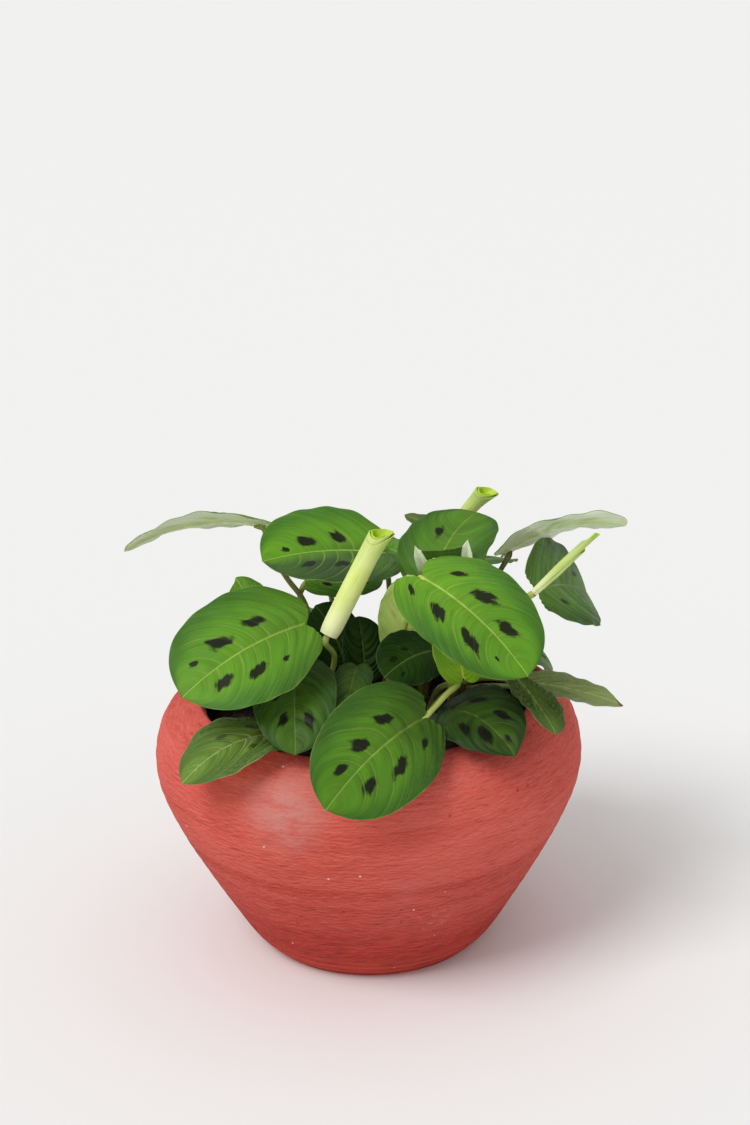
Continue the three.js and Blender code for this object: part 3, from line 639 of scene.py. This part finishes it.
stalk_finish = stalk_skin()
for key, (place, top) in STEMS.items():
    heights = np.linspace(SHOOT_FOOT, top, SHOOT_ROWS)
    line = np.array([(*place, height) for height in heights])
    radius = SHOOT_RADIUS * (1 - 0.35 * np.clip((heights - top + 5) / 5, 0, 1) ** 2)
    # The shoots are drawn dark: partly their own brownish colour, partly painted shade low in the clump.
    paleness_and_painted_shade = np.append(np.repeat(0.02 + 0.2 * np.linspace(0, 1, SHOOT_ROWS), SHOOT_SIDES), [0, 0.2])
    parts = [(*round_bar(line, radius, SHOOT_SIDES), {"paleness_and_painted_shade": paleness_and_painted_shade})]
    for leaf in OPEN_LEAVES + ROLLED_LEAVES:
        if leaf["stem"] == key:
            parts += stalk_parts(leaf)
    points, faces, flat, measures = put_together(parts)
    stem = make_piece(f"stem_{key}_fine", points, faces, [stalk_finish], flat_map=flat, measures=measures)
    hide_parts(f"stem_{key}")

# The leaf blades. Thin, satin, heart-shaped at the base, arched along a pale midrib and pleated by the side
# veins. Dark brown blotches lie between the veins on both sides of the midrib, and the undersides are paler
# and duller. Painted light and shade also make whole blades, parts of them and the lanes between their veins
# lighter or darker, and the undersides are drawn paler still by painted light that stands in for light
# shining through the leaf.
LOBE = 0.11
OVAL_START = 0.045
OVAL_POWER = 2.3
BLADE_HALF = 0.4
EDGE_HALF = 0.2
RIB_DEPTH = 1.1
NO_BLOTCH = 4.0
BLOTCH_POWER = 2.3
BLADE_ROWS = 90
HALF_COLUMNS = 24
VEIN_SLANT = 0.10
VEIN_CURVE = 0.31
VEIN_POWER = 2.2
VEIN_COUNT = 8.0


def vein_root(leaf, u, v):
    """Where on the midrib the side vein through u, v starts: u less 0.10 * v + 0.31 * v ** 2.2, because a
    vein leaves the midrib at a slant and then bends towards the tip. A curled leaf's veins slant more."""
    return u - leaf["slant"] * (VEIN_SLANT * np.abs(v) + VEIN_CURVE * np.abs(v) ** VEIN_POWER)


def vein_count(leaf, u, v):
    """The number of side veins passed so far, whole on a vein. The veins stand closer near the base, no two
    gaps are quite alike, and the veins of the two halves take turns."""
    s = vein_root(leaf, u, v) + 0.02
    even = VEIN_COUNT * np.sign(s) * np.abs(s) ** 0.85 + 0.3 * (v > 0)
    return even + 0.16 * np.sin(2.3 * even + leaf["width"]) + 0.1 * np.sin(3.7 * u + 2 * v)


def blade_outline(leaf, u):
    """Half the blade's width at shares u of its length: an oval of power 2.3 that starts a little way in,
    drawn in to a short point over its last part."""
    place = OVAL_START + (1 - OVAL_START) * u ** leaf["widest"]
    oval = np.sqrt(np.maximum(0, 1 - np.abs(2 * place - 1) ** OVAL_POWER))
    point = leaf["point"] * (1 - u) + 1e-9
    return oval, (np.maximum(oval, 1e-9) ** -3 + point ** -3) ** (-1 / 3)


def blade_surface(leaf, u, v):
    """Points of the blade's middle. Across the midrib it reaches half the width times v; the base lobes lie
    back by (1 - u) ** 2, and meet but for a slit; the halves fold up, the edge waves, and the parts between
    side veins puff up."""
    point, run, face = midrib(leaf, u)
    side = np.cross(run, face)
    length = np.linalg.norm(leaf["tip"] - leaf["base"])
    oval, outline = blade_outline(leaf, u)
    half = 0.5 * leaf["width"] * outline * (1 - leaf["slim"] * (v < 0) * np.exp(-((u - 0.12) / 0.16) ** 2))
    wave = leaf["wave"] * v ** 2 * np.sin(9 * u + 2.2 * v + leaf["width"]) * oval
    fine_wave = leaf["ruffle"] * v ** 6 * np.sin(31 * u + 5 * v + leaf["width"]) * oval
    fold = math.tan(leaf["fold"]) * half * np.abs(v) * (1 - 0.3 * np.abs(v))
    between = np.clip(np.abs(v) / 0.12, 0, 1) * np.clip((1 - np.abs(v)) / 0.12, 0, 1)
    between = between * np.minimum(1, half / 14) * np.clip((1 - u) / 0.35, 0, 1)
    puff = 0.22 * leaf["pleat"] * (1 - np.cos(2 * math.pi * vein_count(leaf, u, v))) * between
    back = LOBE * length * (1 - u) ** 2 * (1.25 * np.abs(v) ** 0.5 - 0.5 * np.abs(v) ** 4.5)
    skew = leaf["skew"] * v * np.clip((u - 0.7) / 0.3, 0, 1) ** 2 * oval
    back = back * np.where(v < 0, *leaf["lobes"]) - skew
    rise = fold + wave + fine_wave + puff
    return point - run * back[..., None] + side * (half * v)[..., None] + face * rise[..., None]


def closed_sheet(points, grid):
    """The faces of a thin sheet and of the wall round its edge, and 1 for each face of its back. The points
    are its front's and then, in the same order, its back's; the grid holds the front's numbers."""
    back = len(points) // 2
    rim = np.concatenate([grid[0], grid[1:, -1], grid[-1, -2::-1], grid[-2::-1, 0]])
    parts = [faces_of(grid), faces_of(grid[:, ::-1] + back), faces_of(np.stack([rim + back, rim]))]
    return facing_out(points, np.vstack(parts)), np.repeat([0, 1, 0], [len(part) for part in parts])


def blade_shell(leaf):
    """The closed blade: an upper and a lower face 0.8 mm apart, thinner at the edge, with a round rib under
    the midrib and a shallow groove over it. All columns meet at the tip. Its points carry the half-width in
    millimetres, how far they are from a blotch in that blotch's sizes, the number of veins, how much
    lighter or darker the blade is drawn, partly by painted light and shade, and the share of painted grey
    shade. A blotch's side towards the edge is drawn out into fingers."""

    def per_point(values):
        """A measure for each point of both faces, with the tip's once on each."""
        return np.tile(np.append(values[:-1].ravel(), values[-1, HALF_COLUMNS]), 2)

    u = (1 - np.cos(np.linspace(0, math.pi, BLADE_ROWS + 1))) / 2
    t = np.linspace(-1, 1, 2 * HALF_COLUMNS + 1)
    u, v = np.meshgrid(u, np.sign(t) * np.abs(t) ** 1.45, indexing="ij")
    middle = blade_surface(leaf, u, v)
    normal = np.cross(np.gradient(middle, axis=1), np.gradient(middle, axis=0))
    normal[-1] = normal[-2, HALF_COLUMNS]
    normal = unit(normal)
    span = 0.5 * leaf["width"] * blade_outline(leaf, u)[1]
    from_edge = (1 - np.abs(v)) * span
    thick = EDGE_HALF + (BLADE_HALF - EDGE_HALF) * np.clip(from_edge / 3, 0, 1)
    rib = RIB_DEPTH * (1 - 0.8 * u) * np.exp(-(v * span / 1.1) ** 2)
    groove = 0.2 * np.exp(-(v * span / 0.8) ** 2) * (1 - u)
    upper = middle + normal * (thick - groove)[..., None]
    lower = middle - normal * (thick + rib)[..., None]
    points = np.vstack([upper[:-1].reshape(-1, 3), upper[-1:, 0], lower[:-1].reshape(-1, 3), lower[-1:, 0]])
    at_tip = BLADE_ROWS * len(t)
    grid = np.vstack([np.arange(at_tip).reshape(BLADE_ROWS, -1), np.full(len(t), at_tip)])
    faces, which = closed_sheet(points, grid)
    flat = np.stack([per_point(u), per_point(0.5 + 0.5 * v)], 1)
    mark = np.full(u.shape, NO_BLOTCH)
    length = np.linalg.norm(leaf["tip"] - leaf["base"])
    root = vein_root(leaf, u, v)
    for number, (place, beside, size) in enumerate(leaf["blotches"]):
        along = (root - vein_root(leaf, place, beside)) * length / (5.9 * size)
        across = (np.abs(v) - abs(beside)) * span / (4.3 * size)
        fingers = 1 + 0.26 * np.cos(4.6 * along + 2.1 * number + leaf["width"])
        across = np.where(across > 0, across / fingers, 1.1 * across)
        away = (np.abs(along) ** BLOTCH_POWER + np.abs(across) ** BLOTCH_POWER) ** (1 / BLOTCH_POWER)
        mark = np.minimum(mark, np.where(np.sign(v) == np.sign(beside), away, NO_BLOTCH))
    # Painted shade darkens each blade towards its base by the leaf's own amount; a negative amount paints
    # light there instead.
    measures = {"span": per_point(span), "mark": per_point(mark), "veins": per_point(vein_count(leaf, u, v)),
                "tone": per_point(leaf["tone"] - leaf["shade"] * np.clip(1 - u / 0.5, 0, 1)),
                "sheen": per_point(leaf["sheen"] * np.clip(2.0 * (0.27 - v) + 0.8 * (0.3 - u), 0, 1))}
    return points, faces, flat, measures, which


def leaf_markings():
    """What every blade shows on both faces: side veins, fine stripes between them, blotches, painted grey
    shade, the midrib and a pale edge, all lighter or darker by how bright the blade is drawn, which is partly
    painted light and shade, and by painted light and shade on the lanes between the veins."""
    group = bpy.data.node_groups.new("leaf markings", "ShaderNodeTree")
    for way, kind, titles in (("INPUT", "Color", ("Body", "Near midrib", "Margin", "Blotch", "Vein")),
                              ("INPUT", "Float", ("Vein strength", "Blotch strength", "Stripe strength")),
                              ("OUTPUT", "Color", ("Colour",)), ("OUTPUT", "Float", ("Relief", "Roughness"))):
        for title in titles:
            group.interface.new_socket(title, in_out=way, socket_type=f"NodeSocket{kind}")
    body, by_midrib, margin, blotch_colour, vein_colour, vein_strength, blotch_strength, stripe_strength = (
        Term(group, output) for output in list(group.nodes.new("NodeGroupInput").outputs)[:8])
    place, flat = placed(group, "Object"), placed(group, "UV")
    along, across = flat.part("X"), flat.part("Y") * 2.0 - 1.0
    beside = across.result("ABSOLUTE")
    span, mark, tone, veins, sheen = (
        carried(group, title) for title in ("span", "mark", "tone", "veins", "sheen"))
    count = veins + (place.clouds(60, 3) - 0.5) * 0.3
    off_vein = ((count + 0.5).result("FRACT") - 0.5).result("ABSOLUTE")
    broken = place.clouds(44, 3, 0.6, shift=(0.2, 0.5, 0.1))
    vein = (off_vein.step(0.0, 0.085, 1.0, 0.0) * broken.step(0.3, 0.62, 0.15, 1.0)
            * along.step(0.72, 0.95, 1.0, 0.15) * beside.step(0.5, 1.0, 1.0, 0.35))
    half = across.result("GREATER_THAN", 0.0)
    lane = Term(group, add_node(group, "ShaderNodeCombineXYZ", X=count, Y=beside, Z=half + tone).outputs[0])
    stripes = lane.clouds(1, 4, 0.65, (13, 1.5, 5))
    fingers = lane.clouds(1, 2, 0.5, (3.2, 2.2, 9))
    broad = lane.clouds(1, 2, 0.5, (0.9, 1.1, 3), (0.3, 0.2, 0))
    islands = place.clouds(170, 3, 0.6)
    clouds = place.clouds(26, 4, 0.6)
    blotch = (mark + (fingers - 0.5) * 1.3 + (islands - 0.5) * 0.9).step(0.72, 1.22, 1.0, 0.0)
    out_mm, edge_mm = beside * span, (1.0 - beside) * span
    near = out_mm.step(1.5, 13.0, 1.0, 0.0).result("MAXIMUM", mark.step(1.0, 2.4, 0.8, 0.0))
    near = near.result("MAXIMUM", along.step(0.02, 0.4, 0.7, 0.0)) * clouds.step(0.3, 0.62, 0.35, 1.0)
    stripe_share = stripe_strength * along.step(0.65, 0.92, 1.0, 0.3)
    rib = out_mm.result("DIVIDE", 1.15 - along * 0.75).step(0.45, 1.0, 1.0, 0.0)
    colour = layered(
        body, ((beside + (clouds - 0.5) * 0.5).step(0.45, 0.95), margin), (near * 0.85, by_midrib),
        (stripes.step(0.5, 0.75) * stripe_share * 0.45, vein_colour),
        (stripes.step(0.48, 0.25) * stripe_share * 0.55, (30, 62, 24)),
        (blotch * blotch_strength, blotch_colour),
        # Painted grey shade over the lower half of a blade, darker still on the blotches.
        (sheen * clouds.step(0.3, 0.6, 0.65, 1.0), layered((52, 74, 38), (blotch, (26, 36, 20)))),
        (vein * vein_strength * (1.0 - blotch * 0.9), vein_colour), (rib * 0.85, vein_colour),
        (edge_mm.step(0.15, 0.6, 0.5, 0.0) * broken.step(0.4, 0.6), vein_colour))
    # Painted light and shade on the puffed lanes between the side veins: lighter in each lane's middle, and
    # lighter or darker from lane to lane.
    painted_quilt_light = off_vein.step(0.05, 0.5, -0.03, 0.04) + broad.step(0.3, 0.7, -0.1, 0.08)
    # The whole blade is drawn lighter or darker: partly the leaf's own colour, partly painted light and
    # shade.
    varied = add_node(group, "ShaderNodeHueSaturation", Color=colour, Value=tone * 0.5 + 1.0 + painted_quilt_light)
    relief = stripes * 0.35 - vein * 0.6 + broad * 0.9 + islands * 0.12
    given_out = group.nodes.new("NodeGroupOutput").inputs
    feed(given_out["Colour"], Term(group, varied.outputs[0]))
    feed(given_out["Relief"], relief)
    feed(given_out["Roughness"], islands.step(0.2, 0.8, 0.4, 0.56))
    return group


MARKINGS = leaf_markings()


def leaf_skin(name, colours, strengths, specular=0.3, bump=0.7, dry_tip=False):
    """A blade's finish: the shared markings in its own colours, in the order body, near the midrib, margin,
    blotch and vein, and with its own strengths of veins, blotches and stripes. A dry tip is brown."""
    finish, tree, sockets = new_finish(name, specular)
    markings = add_node(tree, "ShaderNodeGroup", {"node_tree": MARKINGS})
    for socket, value in zip(markings.inputs, [*(paint(*colour) for colour in colours), *strengths]):
        socket.default_value = value
    colour, relief, roughness = (Term(tree, output) for output in markings.outputs)
    if dry_tip:
        colour = layered(colour, (placed(tree, "UV").part("X").step(0.93, 0.98), (104, 78, 54)))
    cover(sockets, colour, relief, bump, 0.0008, roughness)
    return finish


# The undersides are drawn paler than their own colour, as painted light standing in for light shining through
# the leaf; the yellow one is the brightest, a painted glow.
UNDERSIDES = {
    "grey": leaf_skin(
        "leaf underside",
        [(232, 242, 210), (190, 215, 130), (230, 240, 212), (174, 188, 142), (236, 242, 216)],
        (0.4, 0.25, 0.3), 0.25),
    "yellow": leaf_skin(
        "leaf underside with painted glow",
        [(224, 250, 140), (232, 252, 146), (206, 242, 128), (150, 186, 90), (244, 254, 186)],
        (0.4, 0.25, 0.4), 0.25),
}
LEAF_TOPS = {
    "green": leaf_skin(
        "leaf green", [(90, 147, 28), (97, 146, 24), (64, 114, 28), (22, 30, 2), (158, 192, 82)],
        (0.4, 1.0, 0.6), 0.22),
    # A duller, greyer copy of the green finish: partly the leaves' own duller green, partly painted
    # reflection of the grey shine on slanted leaves.
    "grey": leaf_skin(
        "leaf green greyed by painted reflection", [(80, 112, 32), (108, 138, 42), (74, 102, 40), (32, 42, 18), (170, 188, 112)],
        (0.75, 0.7, 1.0), 0.25, 1.0),
    # Painted shade: a darkened copy of the green finish, for small leaves low in the middle of the clump.
    "deep": leaf_skin(
        "leaf green in painted shade", [(24, 54, 8), (36, 66, 10), (18, 46, 8), (10, 20, 4), (96, 116, 56)],
        (0.32, 0.8, 0.4), 0.12),
    "young": leaf_skin(
        "young leaf", [(116, 168, 6), (136, 182, 14), (100, 152, 4), (110, 130, 50), (200, 220, 90)],
        (0.4, 0.0, 0.4)),
    "sage": leaf_skin(
        "leaf sage green", [(144, 160, 104), (142, 156, 76), (140, 156, 108), (80, 90, 60), (184, 194, 140)],
        (0.45, 0.0, 0.8), 0.25, dry_tip=True),
}
PAIRED_BLOTCHES = [(0.23, 0.4, 0.55), (0.4, -0.42, 0.85), (0.46, 0.4, 0.8), (0.64, -0.38, 0.85),
                   (0.68, 0.36, 0.8), (0.82, -0.24, 0.45)]

# The upper right leaf's base is folded upright behind the leaf in front of it. Its edge shows as a low band,
# darkened by painted shade, between two pale points.
FOLD_TOP = [(31, -31, 264), (31.5, -31, 271), (33.5, -31, 268.5), (36, -31, 267.5), (47, -31, 267.5),
            (56, -31, 268.5), (60, -31, 269.5), (63.5, -31, 274), (66, -31, 264)]
FOLD_FOOT = [(34, -20, 248), (66, -20, 252)]
FOLD_ROWS = 49
FOLD_COLUMNS = 9
FOLD_HALF = 0.3
FOLD_BULGE = 2.5


def folded_base():
    """A strip between a straight foot on the blade and a pointed upper edge. At shares a of its length and
    b of its height it bulges forwards by 2.5 * sin(pi * b). It is 0.6 mm thick, darkened in its middle by
    painted shade, and shows the pale underside on its first third and last quarter."""
    a, b = np.meshgrid(np.linspace(0, 1, FOLD_ROWS), np.linspace(0, 1, FOLD_COLUMNS), indexing="ij")
    upper, lower = (np.stack([np.interp(a, np.linspace(0, 1, len(edge)), line) for line in zip(*edge)], -1)
                    for edge in (FOLD_TOP, FOLD_FOOT))
    middle = lower + (upper - lower) * b[..., None] - np.sin(math.pi * b)[..., None] * (0, FOLD_BULGE, 0)
    normal = unit(np.cross(np.gradient(middle, axis=0), np.gradient(middle, axis=1)))
    points = np.vstack([(middle + side * FOLD_HALF * normal).reshape(-1, 3) for side in (1, -1)])
    faces = closed_sheet(points, np.arange(a.size).reshape(a.shape))[0]
    place = np.tile(a.ravel(), 2)
    # Painted shade: the strip's middle is drawn much darker.
    dark = np.clip((place - 0.32) / 0.05, 0, 1) * np.clip((0.78 - place) / 0.05, 0, 1)
    measures = {"span": 20 + 0 * place, "mark": NO_BLOTCH + 0 * place, "veins": 7 * place,
                "tone": 0.3 - 1.4 * dark, "sheen": 0 * place}
    flat = np.stack([place, np.tile((0.55 + 0.3 * b).ravel(), 2)], -1)
    return points, faces, flat, measures, ((place < 0.34) | (place > 0.76)).astype(int)[faces[:, 0]]


for leaf in OPEN_LEAVES:
    if leaf["look"] != "young" and not leaf["plain"] and not leaf["blotches"]:
        chance, share = leaf["base"][0], min(1, leaf["width"] / 50)
        leaf["blotches"] = [(u + 0.04 * math.sin(chance + 9 * v), v,
                             size * share * (1 + 0.3 * math.sin(3 * chance + 20 * u)))
                            for u, v, size in PAIRED_BLOTCHES]
    parts = [blade_shell(leaf)]
    if leaf["name"] == "leaf_upper_right":
        parts.append(folded_base())
    points, faces, flat, measures = put_together(parts)
    which = np.concatenate([part[4] for part in parts])
    finishes = [LEAF_TOPS[leaf["look"]], UNDERSIDES[leaf["under"]]]
    blade = make_piece(f"{leaf['name']}_fine", points, faces, finishes, which, flat, measures, sharp=60)
    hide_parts(leaf["name"])
    "young_leaf" if leaf["look"] == "young" else "leaf"

# The rolled leaves. A new leaf comes up as a tight roll, its outer edge lying slantwise down the roll and
# its mouth cut on the slant. It is still pale yellow-green, brightest inside the mouth.
ROLL_ROWS = 60
ROLL_STEPS = 110
ROLL_TURNS = 2.3
DEEP_TURN = 9.0
SHEET = 0.5


def roll_shell(roll):
    """A sheet wound round the roll's axis. Its radius follows the roll's foot, middle and mouth along the
    axis and falls by an even share with each radian inwards, but the sheet's outer edge is pressed on to
    the turn below. The outer turn ends lower by the wrap's drop. The mouth rises by right_lift *
    cos(angle), dips by front_dip at the front, and flares to the right. The sheet is closed by walls along
    its four sides."""
    length = np.linalg.norm(roll["tip"] - roll["base"])
    ahead = unit(roll["tip"] - roll["base"])
    foot, middle, mouth = roll["radii"]
    along = np.linspace(0, 1, ROLL_ROWS)[:, None]
    turn = np.linspace(0, 2 * math.pi * ROLL_TURNS, ROLL_STEPS)
    body = np.interp(along[:, 0], [0, 0.05, 0.12, 0.5, 0.8, 1],
                     [0.84 * foot, 0.97 * foot, foot, middle, (middle + mouth) / 2, mouth])
    body = np.convolve(np.pad(body, 2, mode="edge"), [0.1, 0.2, 0.4, 0.2, 0.1], "valid")[:, None]
    pressed = np.maximum(0, body * 2 * math.pi * roll["tight"] - SHEET - 0.1) * np.exp(-(turn / 0.6) ** 2)
    radius = body * np.clip(1 - roll["tight"] * turn, 0.1, 1) - pressed
    angle = math.radians(roll["edge"]) + 0.5 * (along - 1) + turn
    wrap = 1 - roll["wrap_drop"] * np.clip(1 - turn / (2 * math.pi), 0, 1)
    near_mouth = np.clip((along - 0.55) / 0.45, 0, 1) ** 1.5
    cut = roll["right_lift"] * np.cos(angle) - roll["front_dip"] * np.clip(-np.sin(angle), 0, 1) ** 1.4
    height = along * wrap * (length * roll["share"] - roll["right_lift"]) + near_mouth * cut * radius / mouth
    radius = radius + roll["flare"] * near_mouth ** 2 * np.clip(np.cos(angle), 0, 1) ** 2
    points = np.vstack([np.stack([reach * np.cos(angle), reach * np.sin(angle), height], -1).reshape(-1, 3)
                        for reach in (radius, radius - SHEET)])
    grid = np.arange(ROLL_ROWS * ROLL_STEPS).reshape(ROLL_ROWS, ROLL_STEPS)
    faces = closed_sheet(points, grid)[0]
    spin = Matrix.Rotation(math.acos(ahead[2]), 3, np.cross([0, 0, 1.0], ahead))
    points = points @ np.array(spin).T + roll["base"]
    flat = np.tile(np.stack(np.meshgrid(along, turn / turn[-1], indexing="ij"), -1).reshape(-1, 2), (2, 1))
    deep = np.tile(np.clip(turn - DEEP_TURN, 0, 1), 2 * ROLL_ROWS)
    inside = np.maximum(np.repeat([0.0, 1.0], grid.size), deep)
    return points, faces, flat, {"inside": inside, "green": np.full(len(points), roll["green"])}


def roll_skin():
    """Pale yellow-green with fine lengthwise veins: palest at the foot, greener towards the mouth, and
    bright yellow-green inside."""
    finish, tree, sockets = new_finish("rolled leaf", 0.4)
    flat = placed(tree, "UV")
    along = flat.part("X")
    stripes = flat.clouds(1, 4, 0.6, (3, 90, 1))
    clouds = placed(tree, "Object").clouds(70, 3, 0.55)
    colour = layered(
        (238, 246, 158), (clouds.step(0.3, 0.7), (222, 238, 126)),
        (carried(tree, "green") + along.step(0.55, 1.0, 0.0, 0.3), (156, 186, 92)),
        (along.step(0.0, 0.45, 0.8, 0.0), (248, 250, 198)),
        (stripes.step(0.5, 0.72, 0, 0.45), (240, 246, 190)),
        (stripes.step(0.48, 0.3, 0, 0.4), (184, 210, 96)), (carried(tree, "inside"), (190, 220, 60)))
    cover(sockets, colour, stripes, 0.3, 0.0005, clouds.step(0.2, 0.8, 0.4, 0.52))
    return finish


roll_finish = roll_skin()
for roll in ROLLED_LEAVES:
    points, faces, flat, measures = roll_shell(roll)
    piece = make_piece(f"{roll['name']}_fine", points, faces, [roll_finish], None, flat, measures, sharp=60)
    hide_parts(roll["name"])

# The studio: a wide pale floor, a bright even sky, and one broad soft lamp high at the front left, that
# lays a soft shadow to the right.
FLOOR_REACH = 14
SKY_LIGHT = 0.6
floor_mesh = bpy.data.meshes.new("floor")
floor_corners = [(x * FLOOR_REACH, y * FLOOR_REACH, 0) for x, y in ((-1, -1), (1, -1), (1, 1), (-1, 1))]
floor_mesh.from_pydata(floor_corners, [], [(0, 1, 2, 3)])
floor = stand_in("floor", floor_mesh)
floor_finish, _, floor_sockets = new_finish("pale floor", 0.1)
floor_sockets["Base Color"].default_value = paint(244, 244, 243)
floor_sockets["Roughness"].default_value = 0.9
floor_mesh.materials.append(floor_finish)

sky = bpy.data.worlds.new("studio")
sky.use_nodes = True
sky_sockets = sky.node_tree.nodes["Background"].inputs
sky_sockets["Color"].default_value = (1.0, 1.0, 1.0, 1.0)
sky_sockets["Strength"].default_value = SKY_LIGHT
bpy.context.scene.world = sky
bpy.context.scene.view_settings.view_transform = "Standard"

LAMP_SIDE = (-0.6, -0.55, 1.0)
LAMP_SPREAD = 30
LAMP_POWER = 1.55


def aim(thing, right, up, back, place):
    """Turns and moves a lamp or camera. It looks away from back."""
    stood = np.eye(4)
    stood[:3] = np.stack([right, up, back, place], 1)
    thing.matrix_world = Matrix(stood.tolist())


lamp = bpy.data.lights.new("main lamp", "SUN")
lamp.angle = math.radians(LAMP_SPREAD)
lamp.energy = LAMP_POWER
back = unit(np.array(LAMP_SIDE))
right = unit(np.cross([0, 0, 1.0], back))
aim(stand_in("main lamp", lamp), right, np.cross(back, right), back, np.zeros(3))

# The camera: a 70 mm lens, 1.44 m from the pot's foot, looking 19.4 degrees down and tipped by 1.5 degrees.
# The foot's place in the picture, in its pixels right of and below the middle, says where it stands.
LENS = 70
FILM = 36
PITCH = math.radians(19.4)
TIP = math.radians(1.5)
DISTANCE = 1.44
FRAME_HEIGHT = 1125
FOOT_OFF_CENTRE = (-1.5, 358.5)
pixels = LENS / FILM * FRAME_HEIGHT
ahead = np.array([0, math.cos(PITCH), -math.sin(PITCH)])
level_right, level_up = np.array([1.0, 0, 0]), np.array([0, math.sin(PITCH), math.cos(PITCH)])
right = math.cos(TIP) * level_right - math.sin(TIP) * level_up
up = math.sin(TIP) * level_right + math.cos(TIP) * level_up
stand = -DISTANCE * (ahead + FOOT_OFF_CENTRE[0] / pixels * right - FOOT_OFF_CENTRE[1] / pixels * up)
lens = bpy.data.cameras.new("camera")
lens.lens = LENS
lens.sensor_fit = "VERTICAL"
lens.sensor_height = FILM
lens.clip_end = 60
camera = stand_in("camera", lens)
aim(camera, right, up, -ahead, stand)
bpy.context.scene.camera = camera
